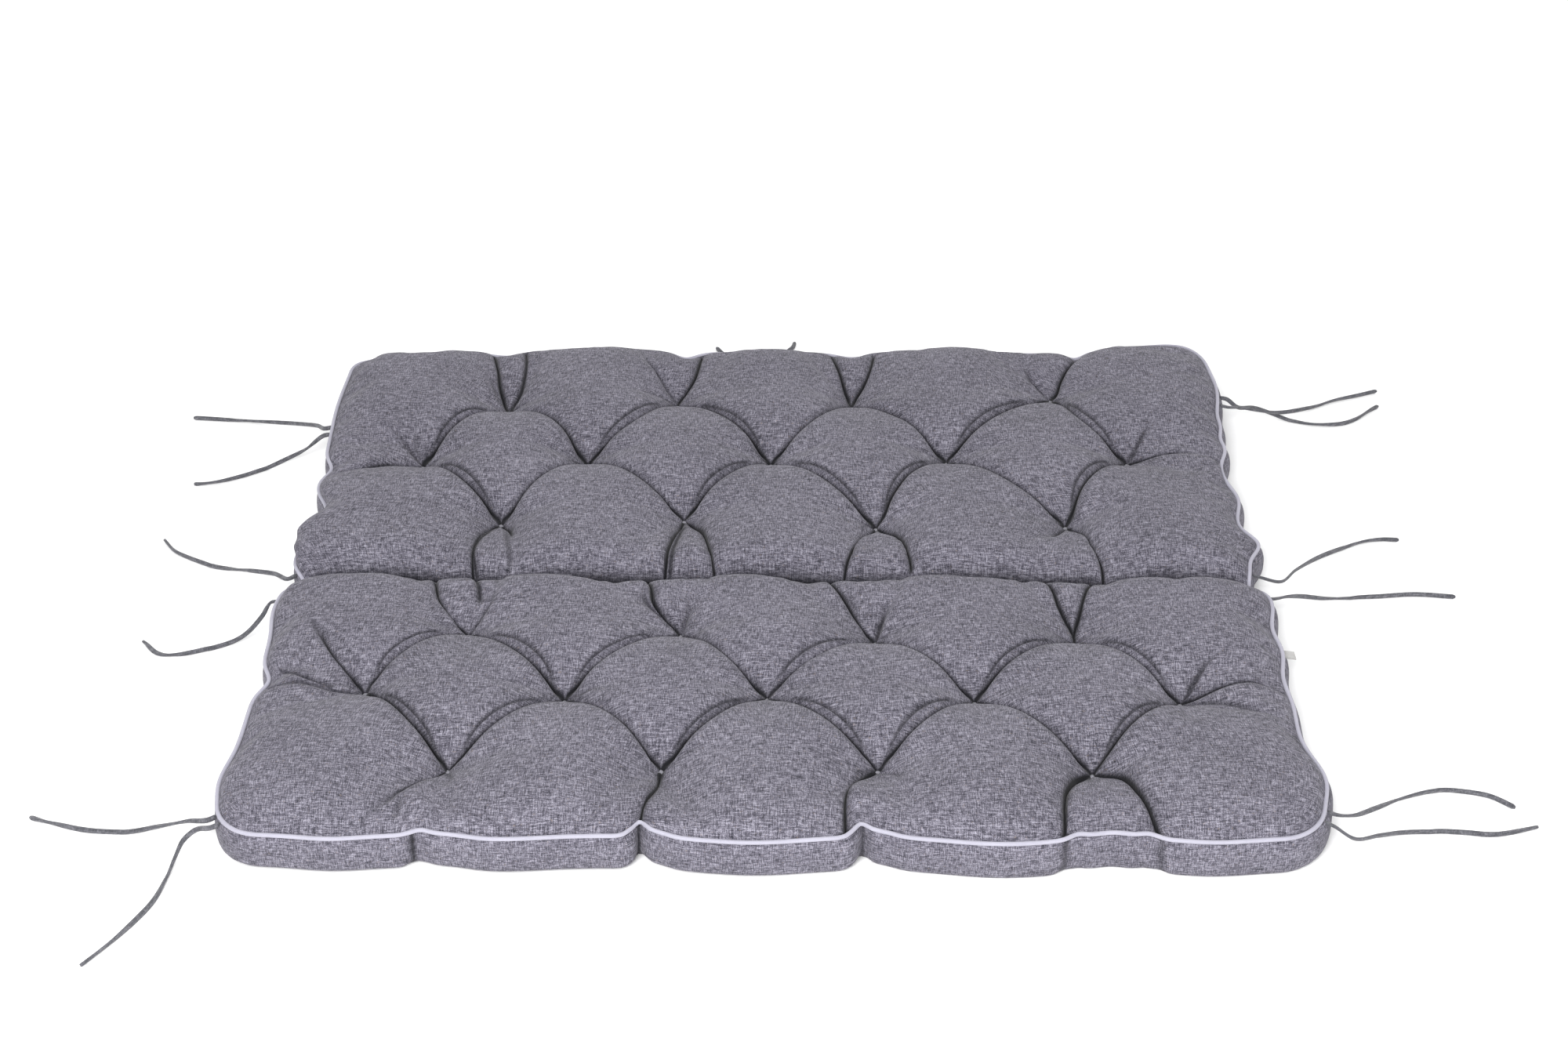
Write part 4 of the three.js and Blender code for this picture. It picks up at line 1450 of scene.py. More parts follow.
# Each tie: its node, its line from the seam, its half turns and where they start
TIES = (
    TieTape("tie_front_left_a",
        ((-0.6043, 0.0379, 0.044), (-0.6143, 0.0334, 0.042), (-0.637, 0.043, 0.033),
        (-0.659, 0.053, 0.021), (-0.680, 0.060, 0.011), (-0.713, 0.061, 0.003), (-0.759, 0.064, 0.002),
        (-0.792, 0.073, 0.002), (-0.827, 0.087, 0.002)), 2.0, 0.1),
    TieTape("tie_front_left_b",
        ((-0.5984, 0.0247, 0.044), (-0.6084, 0.0202, 0.042), (-0.626, 0.027, 0.034),
        (-0.641, 0.023, 0.022), (-0.648, 0.008, 0.011), (-0.653, -0.015, 0.003), (-0.660, -0.055, 0.002),
        (-0.682, -0.108, 0.002), (-0.713, -0.157, 0.002)), 1.4, 0.3),
    TieTape("tie_front_right_a",
        ((0.6118, 0.052, 0.044), (0.6225, 0.0493, 0.042), (0.644, 0.059, 0.034),
        (0.675, 0.087, 0.022), (0.711, 0.118, 0.011), (0.758, 0.143, 0.003), (0.790, 0.141, 0.002),
        (0.816, 0.133, 0.002), (0.840, 0.113, 0.002)), 1.8, 0.2),
    TieTape("tie_front_right_b",
        ((0.6055, 0.0342, 0.044), (0.6154, 0.0294, 0.042), (0.637, 0.022, 0.031),
        (0.669, 0.041, 0.020), (0.701, 0.059, 0.010), (0.738, 0.069, 0.003), (0.770, 0.068, 0.002),
        (0.804, 0.065, 0.002), (0.857, 0.079, 0.002)), 1.1, 0.0),
    TieTape("tie_hinge_left_a",
        ((-0.5978, 0.5267, 0.0399), (-0.6072, 0.5209, 0.0379), (-0.629, 0.543, 0.031),
        (-0.661, 0.562, 0.023), (-0.690, 0.581, 0.013), (-0.721, 0.602, 0.004), (-0.755, 0.622, 0.002),
        (-0.778, 0.639, 0.002), (-0.797, 0.666, 0.002)), 1.6, 0.15),
    TieTape("tie_hinge_left_b",
        ((-0.6076, 0.4605, 0.0437), (-0.6186, 0.4618, 0.0417), (-0.627, 0.443, 0.034),
        (-0.643, 0.429, 0.020), (-0.660, 0.426, 0.009), (-0.688, 0.418, 0.003), (-0.725, 0.404, 0.002),
        (-0.751, 0.407, 0.002), (-0.775, 0.432, 0.002)), 2.1, 0.4),
    TieTape("tie_hinge_right_a",
        ((0.6066, 0.5329, 0.0411), (0.6174, 0.5307, 0.0391), (0.642, 0.532, 0.032),
        (0.671, 0.575, 0.022), (0.708, 0.621, 0.011), (0.749, 0.658, 0.003), (0.776, 0.673, 0.002),
        (0.803, 0.679, 0.002), (0.827, 0.678, 0.002)), 1.3, 0.05),
    TieTape("tie_hinge_right_b",
        ((0.6153, 0.4799, 0.0406), (0.6258, 0.483, 0.0386), (0.646, 0.497, 0.033),
        (0.669, 0.514, 0.022), (0.699, 0.528, 0.010), (0.737, 0.539, 0.003), (0.775, 0.543, 0.002),
        (0.819, 0.548, 0.002), (0.871, 0.543, 0.002)), 1.7, 0.25),
    TieTape("tie_back_left_a",
        ((-0.6073, 0.895, 0.044), (-0.6182, 0.8945, 0.042), (-0.633, 0.918, 0.033),
        (-0.660, 0.942, 0.022), (-0.699, 0.969, 0.009), (-0.735, 0.983, 0.003), (-0.764, 0.987, 0.002),
        (-0.792, 0.989, 0.002), (-0.823, 0.991, 0.002)), 1.2, 0.1),
    TieTape("tie_back_left_b",
        ((-0.6063, 0.8749, 0.044), (-0.6173, 0.8744, 0.042), (-0.643, 0.872, 0.022),
        (-0.673, 0.864, 0.009), (-0.700, 0.848, 0.003), (-0.724, 0.831, 0.002), (-0.754, 0.816, 0.002),
        (-0.787, 0.810, 0.002)), 1.9, 0.35),
    TieTape("tie_back_right_a",
        ((0.6297, 0.9677, 0.044), (0.6406, 0.9659, 0.042), (0.660, 0.979, 0.034),
        (0.690, 0.988, 0.024), (0.723, 1.001, 0.014), (0.772, 1.033, 0.004), (0.811, 1.056, 0.002),
        (0.846, 1.070, 0.002), (0.880, 1.085, 0.002)), 1.5, 0.0),
    TieTape("tie_back_right_b",
        ((0.6323, 0.9897, 0.044), (0.6433, 0.9888, 0.042), (0.659, 0.988, 0.030),
        (0.689, 1.009, 0.017), (0.714, 1.011, 0.007), (0.742, 0.998, 0.002), (0.776, 0.987, 0.002),
        (0.812, 0.989, 0.002), (0.873, 1.040, 0.002)), 2.2, 0.2),
    TieTape("tie_back_middle_a",
        ((0.022, 1.1036, 0.044), (0.022, 1.1146, 0.042), (0.020, 1.128, 0.030),
        (0.015, 1.146, 0.013), (0.011, 1.163, 0.003), (0.013, 1.182, 0.002), (0.022, 1.200, 0.002),
        (0.030, 1.214, 0.002), (0.033, 1.230, 0.002)), 0.9, 0.1),
    TieTape("tie_back_middle_b",
        ((0.002, 1.1036, 0.044), (0.002, 1.1146, 0.042), (-0.004, 1.128, 0.030),
        (-0.013, 1.145, 0.013), (-0.027, 1.160, 0.003), (-0.044, 1.172, 0.002), (-0.060, 1.182, 0.002),
        (-0.074, 1.194, 0.002), (-0.084, 1.211, 0.002)), 1.0, 0.3),
)


@dataclass
class Cover:
    """The filled cover: quilted top, side band and underside in one closed cloth."""

    shape: CoverShape
    columns: int = 150
    cells_per_stop: int = 15
    band_rings: int = 8
    sim_frames: int = 24
    sim_quality: int = 6
    sim_air: float = 2.0
    sim_mass: float = 0.25
    sim_tension: float = 25.0
    sim_compression: float = 12.0
    sim_shear: float = 6.0
    sim_bending: float = 0.3
    sim_ease: float = 0.05
    sim_pressure: float = 3.0
    sim_cap: float = 0.007
    tuft_hold: float = 0.75
    tuft_hold_reach: float = 0.032
    pucker_seed: int = 26
    pucker_count: int = 8
    pucker_spread: tuple[float, float] = (0.1, 0.9)
    pucker_length: tuple[float, float] = (0.022, 0.055)
    pucker_bend: float = 0.3
    pucker_depth: tuple[float, float] = (0.0012, 0.0042)
    # Painted shade of the puckers, for each metre of their depth
    pucker_painted_shade: float = 105.0
    lump_seed: int = 5
    lump_count: int = 260
    lump_size: tuple[float, float] = (0.018, 0.050)
    lump_stretch: tuple[float, float] = (0.7, 1.5)
    lump_height: float = 0.0026
    lump_rise: float = 0.6
    fine_reach: float = 0.009
    pit_depth: float = 0.003
    pit_width: float = 0.006
    pit_reach: float = 0.018
    pit_gather: float = 0.20
    # Painted shade in the tufts' pits
    pit_painted_shade: float = 0.8
    # Painted shade on the front band's upright folds, by their depth, and its width as a share of theirs
    band_painted_shade: float = 90.0
    band_painted_shade_width: float = 0.7
    rim_blend: float = 0.006
    least_top: float = 0.016
    band_cloth: float = 0.056
    band_cloth_from: float = 2.0
    under_cloth_from: float = 3.0
    rows: int = field(init=False)
    tuft_spots: np.ndarray = field(init=False)
    hinge_line: np.ndarray = field(init=False)

    def __post_init__(self) -> None:
        """Work out the number of rows."""
        self.rows = (len(ROW_STOPS) - 1) * self.cells_per_stop

    def cells(self) -> bmesh.types.BMesh:
        """Even box of cells: a top and an underside grid, joined by the band's rings.

        Returns:
            The cells in a unit box, z being the level.
        """
        box = bmesh.new()
        box.loops.layers.uv.new("cloth")
        bmesh.ops.create_grid(box, x_segments=self.columns, y_segments=self.rows, size=0.5)
        bmesh.ops.translate(box, verts=box.verts, vec=(0, 0, 1))
        copied = bmesh.ops.duplicate(box, geom=box.verts[:] + box.edges[:] + box.faces[:])["geom"]
        lower = [part for part in copied if isinstance(part, bmesh.types.BMVert)]
        bmesh.ops.translate(box, verts=lower, vec=(0, 0, -1))
        walls = bmesh.ops.bridge_loops(box, edges=[edge for edge in box.edges if edge.is_boundary])
        upright = [edge for edge in walls["edges"] if edge.verts[0].co.z != edge.verts[1].co.z]
        bmesh.ops.subdivide_edges(box, edges=upright, cuts=self.band_rings - 1, use_grid_fill=True)
        bmesh.ops.recalc_face_normals(box, faces=box.faces[:])
        return box

    def rim(self) -> tuple[np.ndarray, np.ndarray]:
        """Find the even places round the edge, anticlockwise seen from above.

        Returns:
            Their x and their row stops.
        """
        across = np.arange(self.columns)
        along = np.arange(self.rows)
        right = np.full(self.rows, self.columns)
        back = np.full(self.columns, self.rows)
        i = np.concatenate([across, right, self.columns - across, 0 * along])
        j = np.concatenate([0 * across, along, back, self.rows - along])
        return (i / self.columns - 0.5) * self.shape.width, j / self.cells_per_stop

    def moulded(self, even: np.ndarray) -> np.ndarray:
        """Bend the even box to the filled cover.

        Args:
            even: Places in the unit box, one a row.

        Returns:
            Real places, one a row.
        """
        shape = self.shape
        x = even[:, 0] * shape.width
        stop = (even[:, 1] + 0.5) * (len(ROW_STOPS) - 1)
        level = even[:, 2]
        real_x, real_y = shape.placed(x, stop)
        y = shape.row_y(stop)
        top = np.stack([real_x, real_y, shape.top_z(x, stop)], axis=1)
        under = np.stack([real_x, real_y, shape.under_z(x, y)], axis=1)
        seam = shape.seam_line(*self.rim())
        i = np.rint((even[:, 0] + 0.5) * self.columns).astype(int)
        j = np.rint((even[:, 1] + 0.5) * self.rows).astype(int)
        right = (i == self.columns) & (j < self.rows)
        back = (j == self.rows) & (i > 0)
        left = (i == 0) & (j > 0)
        spot = np.where(right, self.columns + j, i)
        spot = np.where(back, 2 * self.columns + self.rows - i, spot)
        spot = np.where(left, 2 * (self.columns + self.rows) - j, spot) % len(seam["x"])
        here = {name: values[spot] for name, values in seam.items()}
        band = shape.band(here, level)
        edge = (i == 0) | (i == self.columns) | (j == 0) | (j == self.rows)
        places = np.where((level > ON_TOP)[:, None], top, under)
        lower = edge & (level < ON_TOP)
        places[lower] = band[lower]
        return places

    def cloth_places(self, data: bpy.types.Mesh, even: np.ndarray) -> None:
        """Write the cloth coordinates: metres along weft and warp on each sewn panel.

        Args:
            data: The mesh, still with its even cells.
            even: Places in the unit box, one a row.
        """
        corners = np.empty(len(data.loops), int)
        data.loops.foreach_get("vertex_index", corners)
        quads = corners.reshape(-1, 4)
        x = even[:, 0] * self.shape.width
        y = self.shape.row_y((even[:, 1] + 0.5) * (len(ROW_STOPS) - 1))
        level = even[:, 2]
        flat = np.ptp(level[quads], axis=1) < TINY
        along_side = np.ptp(even[:, 0][quads], axis=1) < TINY
        along = np.where(along_side[:, None], y[quads], x[quads])
        wall = np.stack([along, self.band_cloth_from + level[quads] * self.band_cloth], axis=2)
        below = np.where(level[quads] > 0.5, 0.0, self.under_cloth_from)
        sheet = np.stack([x[quads], y[quads] + below], axis=2)
        places = np.where(flat[:, None, None], sheet, wall)
        data.uv_layers["cloth"].data.foreach_set("uv", places.astype(np.float32).ravel())

    def pinned(self, even: np.ndarray) -> np.ndarray:
        """Find which places of the top are sewn down: rim, hinge and tufts.

        Args:
            even: Places in the unit box, one a row.

        Returns:
            True for each sewn place.
        """
        i = np.rint((even[:, 0] + 0.5) * self.columns).astype(int)
        j = np.rint((even[:, 1] + 0.5) * self.rows).astype(int)
        held = (i == 0) | (i == self.columns) | (j == 0) | (j == self.rows)
        held |= j == self.shape.hinge_stop * self.cells_per_stop
        for row in TUFT_ROWS:
            for x, _ in row.even_places():
                column = round((x / self.shape.width + 0.5) * self.columns)
                off = np.abs(i - column) + np.abs(j - row.stop * self.cells_per_stop)
                held |= off <= 1
        return held

    def filled(self, cover: bpy.types.Object, even: np.ndarray) -> np.ndarray:
        """Let the filling press the top cloth out between its sewn places.

        Args:
            cover: The moulded cover.
            even: Places in the unit box, one a row.

        Returns:
            Real places of the cover, one a row.
        """
        start = Mesh.places(cover.data)
        top = np.flatnonzero(even[:, 2] > ON_TOP)
        sheet = bmesh.new()
        sheet.from_mesh(cover.data)
        sheet.verts.ensure_lookup_table()
        gone = [vertex for vertex, level in zip(sheet.verts, even[:, 2]) if level < ON_TOP]
        bmesh.ops.delete(sheet, geom=gone, context="VERTS")
        cloth = Mesh.from_bmesh("filling_try", sheet, cover.data.materials[0])
        group = cloth.vertex_groups.new(name="sewn")
        group.add(np.flatnonzero(self.pinned(even[top])).tolist(), 1.0, "REPLACE")
        modifier = cloth.modifiers.new("cloth", "CLOTH")
        settings = modifier.settings
        settings.quality = self.sim_quality
        settings.mass = self.sim_mass
        settings.tension_stiffness = self.sim_tension
        settings.compression_stiffness = self.sim_compression
        settings.shear_stiffness = self.sim_shear
        settings.bending_stiffness = self.sim_bending
        settings.air_damping = self.sim_air
        settings.shrink_min = -self.sim_ease
        settings.use_pressure = True
        settings.uniform_pressure_force = self.sim_pressure
        settings.vertex_group_mass = "sewn"
        settings.effector_weights.gravity = 0.0
        modifier.point_cache.frame_end = self.sim_frames
        for frame_number in range(1, self.sim_frames + 1):
            bpy.context.scene.frame_set(frame_number)
        graph = bpy.context.evaluated_depsgraph_get()
        result = cloth.evaluated_get(graph)
        moved = Mesh.places(result.data)
        bpy.context.scene.frame_set(1)
        data = cloth.data
        bpy.data.objects.remove(cloth)
        bpy.data.meshes.remove(data)
        shift = moved - start[top]
        far = np.linalg.norm(shift, axis=1)
        LOG.info("filling moved the top by up to %.1f mm, mean %.1f", far.max() * 1000, far.mean() * 1000)
        kept = self.sim_cap * np.tanh(far / self.sim_cap) / np.maximum(far, NOT_ZERO)
        flat = self.flat_places(even[top])[:, :2]
        for tuft in EVEN_TUFTS:
            away = flat - np.array(tuft)
            kept *= 1 - self.tuft_hold * bell(np.hypot(away[:, 0], away[:, 1]), self.tuft_hold_reach)
        places = start.copy()
        places[top] += shift * kept[:, None]
        return places

    def refined(self, cover: bpy.types.Object, even: np.ndarray) -> None:
        """Halve the cells, keeping each place's even x, y and level.

        Args:
            cover: The cover, whose mesh is replaced.
            even: Places in the unit box, one a row.
        """
        facts = cover.data.attributes.new("even", "FLOAT_VECTOR", "POINT")
        facts.data.foreach_set("vector", even.astype(np.float32).ravel())
        finer = cover.modifiers.new("finer", "SUBSURF")
        finer.levels = 1
        finer.render_levels = 1
        finer.uv_smooth = "NONE"
        coarse = cover.data
        graph = bpy.context.evaluated_depsgraph_get()
        cover.data = bpy.data.meshes.new_from_object(cover.evaluated_get(graph))
        cover.modifiers.clear()
        bpy.data.meshes.remove(coarse)
        cover.data.name = cover.name

    def even_places(self, data: bpy.types.Mesh) -> np.ndarray:
        """Even x and y in metres, and level, of every place.

        Args:
            data: A mesh with the attribute "even".

        Returns:
            The even places, one a row.
        """
        even = np.empty(len(data.vertices) * 3)
        data.attributes["even"].data.foreach_get("vector", even)
        return self.flat_places(even.reshape(-1, 3))

    def flat_places(self, even: np.ndarray) -> np.ndarray:
        """Even x and y in metres, and level, of places in the unit box."""
        stops = (even[:, 1] + 0.5) * (len(ROW_STOPS) - 1)
        return np.stack([even[:, 0] * self.shape.width, self.shape.row_y(stops), even[:, 2]], axis=1)

    def sharpened(self, cover: bpy.types.Object, creases: list[Crease]) -> None:
        """Halve the cells once more beside the creases and the band's folds.

        Args:
            cover: The cover, whose mesh is changed.
            creases: The folds that are pressed in later.
        """
        even = self.even_places(cover.data)
        top = np.flatnonzero(even[:, 2] > ON_TOP)
        beside = np.zeros(len(even), bool)
        for crease in creases:
            near, away, _ = crease.nearest(even[top, :2], self.fine_reach)
            beside[top[near[np.hypot(away[:, 0], away[:, 1]) < self.fine_reach]]] = True
        for fold in BAND_FOLDS:
            beside |= (even[:, 1] < BLURRED) & (np.abs(even[:, 0] - fold.at) < 2 * self.fine_reach)
        shape = bmesh.new()
        shape.from_mesh(cover.data)
        edges = [edge for edge in shape.edges if beside[edge.verts[0].index] and beside[edge.verts[1].index]]
        bmesh.ops.subdivide_edges(shape, edges=edges, cuts=1, use_grid_fill=True)
        uneven = [face for face in shape.faces if len(face.verts) > 4]
        bmesh.ops.triangulate(shape, faces=uneven)
        for face in shape.faces:
            face.smooth = True
        shape.to_mesh(cover.data)
        shape.free()

    def creased(self, cover: bpy.types.Object, creases: list[Crease]) -> None:
        """Press every crease and every tuft into the refined top.

        Args:
            cover: The cover, whose mesh is changed.
            creases: The folds to press in.
        """
        data = cover.data
        even = self.even_places(data)
        data.attributes.remove(data.attributes["even"])
        top = np.flatnonzero(even[:, 2] > ON_TOP)
        flat = even[top, :2]
        places = Mesh.places(data)
        pressed = places[top]
        # Painted shade of the top: darkness put into the cloth's colour along the creases and in the pits
        painted_shade_top = np.zeros(len(top))
        sunk = np.zeros(len(top))
        for crease in creases:
            crease.press(flat, pressed, sunk, painted_shade_top)
        pressed[:, 2] -= sunk
        pressed[:, 2] += self.lumps(flat)
        for tuft in EVEN_TUFTS:
            away = flat - np.array(tuft)
            distance = np.hypot(away[:, 0], away[:, 1])
            pressed[:, 2] -= self.pit_depth * np.exp(-distance / self.pit_width)
            pressed[:, :2] -= away * (self.pit_gather * bell(distance, self.pit_reach))[:, None]
            # Painted shade darkens each tuft's pit
            painted_shade_top = np.maximum(painted_shade_top, self.pit_painted_shade * bell(distance, self.pit_width))
        from_side = self.shape.width / 2 - np.abs(flat[:, 0])
        inside = np.minimum(from_side, np.minimum(flat[:, 1], self.shape.depth - flat[:, 1]))
        places[top] += (pressed - places[top]) * np.clip(inside / self.rim_blend, 0, 1)[:, None]
        shade = np.zeros(len(places))
        shade[top] = painted_shade_top
        # Painted shade down the front band's upright folds
        front = (even[:, 1] < BLURRED) & (even[:, 2] < ON_TOP)
        for fold in BAND_FOLDS:
            across = bell(even[:, 0] - fold.at, self.band_painted_shade_width * fold.width)
            mark = self.band_painted_shade * fold.out * across
            shade = np.maximum(shade, np.where(front, mark, 0.0))
        places[top, 2] = np.maximum(places[top, 2], self.least_top)
        Mesh.move(data, places)
        # Store the painted shade for the cloth's colour to darken
        fact = data.attributes.new("fold_depth", "FLOAT", "POINT")
        fact.data.foreach_set("value", np.clip(shade, 0, 1).astype(np.float32))
        nearest = [np.argmin(np.hypot(*(flat - np.array(tuft)).T)) for tuft in EVEN_TUFTS]
        self.tuft_spots = places[top][nearest]
        line = places[top][np.abs(flat[:, 1] - self.shape.near_depth) < BLURRED]
        self.hinge_line = line[np.argsort(line[:, 0])]
        LOG.info("%d creases pressed into the top", len(creases))

    def lumps(self, flat: np.ndarray) -> np.ndarray:
        """Shallow hollows and rises where the filling lies unevenly.

        Args:
            flat: Even x and y of places of the top.

        Returns:
            The change of height for each.
        """
        chance = random.Random(self.lump_seed)
        total = np.zeros(len(flat))
        for _ in range(self.lump_count):
            x = chance.uniform(-0.5, 0.5) * self.shape.width
            y = chance.uniform(0.0, 1.0) * self.shape.depth
            size = chance.uniform(*self.lump_size)
            height = chance.uniform(-self.lump_height, self.lump_rise * self.lump_height)
            stretch = chance.uniform(*self.lump_stretch)
            total += height * bell(np.hypot(flat[:, 0] - x, (flat[:, 1] - y) * stretch), size)
        return total

    def puckers(self) -> list[Crease]:
        """Lay out the short faint folds that run out from each tuft.

        Returns:
            The folds, tuft by tuft.
        """
        chance = random.Random(self.pucker_seed)
        found = []
        for x, y in EVEN_TUFTS:
            for spoke in range(self.pucker_count):
                angle = 2 * math.pi * (spoke + chance.uniform(*self.pucker_spread)) / self.pucker_count
                length = chance.uniform(*self.pucker_length)
                bend = chance.uniform(-self.pucker_bend, self.pucker_bend)
                middle = (x + 0.5 * length * math.cos(angle), y + 0.5 * length * math.sin(angle))
                end = (x + length * math.cos(angle + bend), y + length * math.sin(angle + bend))
                depth = chance.uniform(*self.pucker_depth)
                # Each pucker darkens its line with painted shade, more the deeper it is
                pucker = Crease(
                    ((x, y), middle, end),
                    depth=depth,
                    width=0.0036,
                    pinch=0.4,
                    dark=self.pucker_painted_shade * depth,
                    fades=(0.05, 0.7),
                    rise=(0.05, 0.7),
                    gather=0.007,
                    dark_width=0.0034,
                    soft_share=0.2,
                )
                found.append(pucker)
        return found

    def build(self, finish: bpy.types.Material) -> bpy.types.Object:
        """Make the cover.

        Args:
            finish: Its cloth.

        Returns:
            The piece.
        """
        cover = Mesh.from_bmesh("cushion_cover", self.cells(), finish)
        even = Mesh.places(cover.data)
        self.cloth_places(cover.data, even)
        Mesh.move(cover.data, self.moulded(even) - ORIGIN)
        Mesh.move(cover.data, self.filled(cover, even))
        self.refined(cover, even)
        creases = [crease for row in FOLDS for crease in row.creases()]
        creases += [*LEADS, *self.puckers()]
        self.sharpened(cover, creases)
        self.creased(cover, creases)
        ride(cover, Slot.COVER, "cushion")
        return cover


@dataclass
class Piping:
    """The round piping sewn into the upper seam, one closed loop."""

    cover: Cover
    diameter: float = 0.005
    gap: float = -0.0006
    lift: float = 0.001
    tucked: tuple[float, float] = (0.0009, 0.0022)
    sides: int = 12

    @staticmethod
    def doubled(values: np.ndarray) -> np.ndarray:
        """Ease a closed row of values as the cover's refining does, and halve its steps.

        Args:
            values: One value for each even place of the rim.

        Returns:
            Twice as many values.
        """
        eased = (np.roll(values, 1) + 6 * values + np.roll(values, -1)) / 8
        between = (9 * (eased + np.roll(eased, -1)) - np.roll(eased, 1) - np.roll(eased, -2)) / 16
        return np.column_stack([eased, between]).ravel()

    def build(self, finish: bpy.types.Material) -> bpy.types.Object:
        """Sweep the piping round the seam.

        Args:
            finish: Its cloth.

        Returns:
            The piece.
        """
        x, stop = self.cover.rim()
        seam = {name: self.doubled(values) for name, values in self.cover.shape.seam_line(x, stop).items()}
        count = len(seam["x"])
        shape = Mesh.tube(count, self.sides)
        radius = self.diameter / 2
        for vertex in shape.verts:
            ring = round(vertex.co.x * count) % count
            angle = 2 * math.pi * vertex.co.y
            tuck = seam["tuck"][ring]
            out = radius + self.gap + self.tucked[0] * tuck + radius * math.cos(angle)
            z = seam["z"][ring] + self.lift - self.tucked[1] * tuck + radius * math.sin(angle)
            x = seam["x"][ring] + seam["out_x"][ring] * out
            y = seam["y"][ring] + seam["out_y"][ring] * out
            vertex.co = (x, y, z)
        perimeter = float(np.hypot(np.diff(seam["x"]), np.diff(seam["y"])).sum())
        bmesh.ops.translate(shape, verts=shape.verts, vec=-ORIGIN)
        Mesh.close_tube(shape, perimeter, math.pi * self.diameter)
        return ride(Mesh.from_bmesh("seam_piping", shape, finish), Slot.PIPING, "piping")


@dataclass
class TuftingThread:
    """The knot and the two short ends of thread that show at each tuft."""

    spots: np.ndarray
    knot: Point = (0.0030, 0.0024, 0.0017)
    lift: Point = (0.0, 0.0, 0.0016)
    stitch_length: float = 0.008
    stitch_radius: float = 0.0007
    stitch_sides: int = 8
    leans: tuple[tuple[float, float], ...] = ((-0.5, 0.1), (1.2, 1.9))
    seed: int = 8

    def build(self, finish: bpy.types.Material) -> bpy.types.Object:
        """Make every knot as one piece.

        Args:
            finish: The thread's material.

        Returns:
            The piece.
        """
        chance = random.Random(self.seed)
        shape = bmesh.new()
        for spot in self.spots:
            turn = Matrix.Rotation(chance.uniform(0, math.pi), 4, "Z")
            place = Matrix.Translation(spot + np.array(self.lift))
            knot = place @ turn @ Matrix.Diagonal((*self.knot, 1.0))
            bmesh.ops.create_icosphere(shape, subdivisions=2, radius=1.0, matrix=knot)
            for leans in self.leans:
                lean = Matrix.Rotation(chance.uniform(*leans), 4, "Z")
                lying = lean @ Matrix.Rotation(math.pi / 2, 4, "Y")
                stitch = place @ turn @ lying
                Mesh.add_stitch(shape, self.stitch_radius, self.stitch_length, self.stitch_sides, stitch)
        bmesh.ops.recalc_face_normals(shape, faces=shape.faces)
        return ride(Mesh.from_bmesh("tufting_thread", shape, finish), Slot.COVER)


@dataclass
class HingeStitching:
    """The row of stitches that holds top and underside together at the hinge."""

    line: np.ndarray
    pitch: float = 0.0085
    stitch_length: float = 0.0060
    radius: float = 0.00055
    sides: int = 6
    proud: float = 0.4
    margin: float = 0.014

    def build(self, finish: bpy.types.Material) -> bpy.types.Object:
        """Make every stitch as one piece.

        Args:
            finish: The thread's material.

        Returns:
            The piece.
        """
        shape = bmesh.new()
        low = self.line[0, 0] + self.margin
        high = self.line[-1, 0] - self.margin
        for x in np.arange(low, high, self.pitch):
            ends = np.array([x, x + self.stitch_length])
            y = np.interp(ends, self.line[:, 0], self.line[:, 1])
            z = np.interp(ends, self.line[:, 0], self.line[:, 2]) + self.proud * self.radius
            run = Vector((ends[1] - ends[0], y[1] - y[0], z[1] - z[0]))
            middle = Vector((ends.mean(), y.mean(), z.mean()))
            turn = run.to_track_quat("Z", "Y").to_matrix().to_4x4()
            place = Matrix.Translation(middle) @ turn
            Mesh.add_stitch(shape, self.radius, run.length, self.sides, place)
        bmesh.ops.recalc_face_normals(shape, faces=shape.faces)
        return ride(Mesh.from_bmesh("hinge_stitching", shape, finish), Slot.COVER)


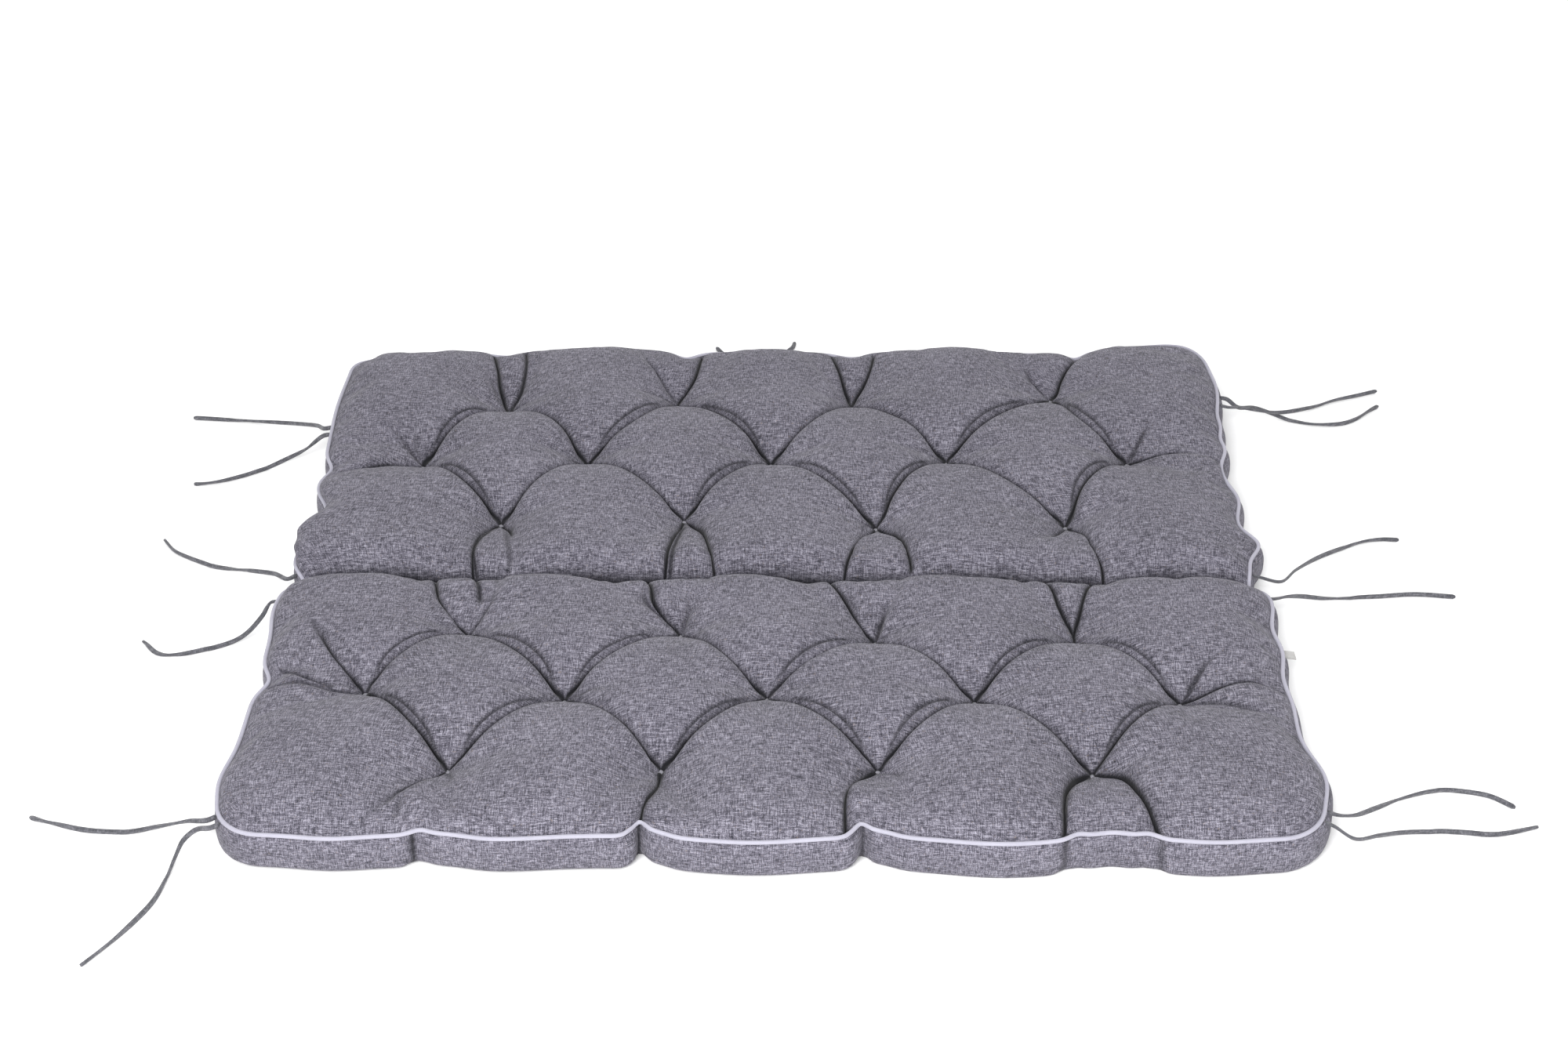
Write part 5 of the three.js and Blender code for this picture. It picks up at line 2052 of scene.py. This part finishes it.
@dataclass(frozen=True)
class Lamp:
    """One large square lamp that faces the cushion: its side in metres and its watts."""

    name: str
    place: Point
    size: float
    watts: float

    def build(self) -> None:
        """Make the lamp."""
        data = bpy.data.lights.new(self.name, "AREA")
        data.size = self.size
        data.energy = self.watts
        lamp = bpy.data.objects.new(self.name, data)
        lamp.location = self.place
        lamp.rotation_euler = (-Vector(self.place)).to_track_quat("-Z", "Y").to_euler()
        bpy.context.scene.collection.objects.link(lamp)


@dataclass
class Studio:
    """Pale floor, soft lights and even surroundings."""

    floor_size: float = 14.0
    world: float = 0.74
    lamps: tuple[Lamp, ...] = (
        Lamp("key", (-0.6, -2.7, 2.0), 1.2, 122.0),
        Lamp("fill", (1.6, -2.4, 1.8), 2.6, 36.0),
        Lamp("back_wash", (0.0, 5.5, 3.5), 5.0, 160.0),
    )

    def build(self) -> None:
        """Make the floor, the lights and the world."""
        sheet = bmesh.new()
        bmesh.ops.create_grid(sheet, x_segments=1, y_segments=1, size=self.floor_size)
        floor = Mesh.from_bmesh("studio_floor", sheet, StudioPaint().material())
        world = bpy.data.worlds.new("studio")
        world.use_nodes = True
        background = world.node_tree.nodes["Background"]
        background.inputs["Color"].default_value = (1.0, 1.0, 1.0, 1.0)
        background.inputs["Strength"].default_value = self.world
        bpy.context.scene.world = world
        for lamp in self.lamps:
            lamp.build()
        bpy.context.scene.view_settings.view_transform = "Standard"


def write_sizes() -> None:
    """Update the view layer."""
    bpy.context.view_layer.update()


def main() -> None:
    """Build and dress the cushion, piece by piece."""
    logging.basicConfig(level=logging.INFO, format="%(name)s: %(message)s")
    Camera().build()
    tape = TapeCloth().material()
    for tie in TIES:
        tie.build(tape)
    cover = Cover(CoverShape())
    cover.build(MelangeCloth().material())
    Piping(cover).build(PipingCloth().material())
    thread = SewingThread().material()
    TuftingThread(cover.tuft_spots).build(thread)
    HingeStitching(cover.hinge_line).build(thread)
    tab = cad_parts["side_tab"]
    tab.data.materials.clear()
    tab.data.materials.append(RibbonSatin().material())
    Studio().build()
    write_sizes()


if __name__ == "__main__":
    main()
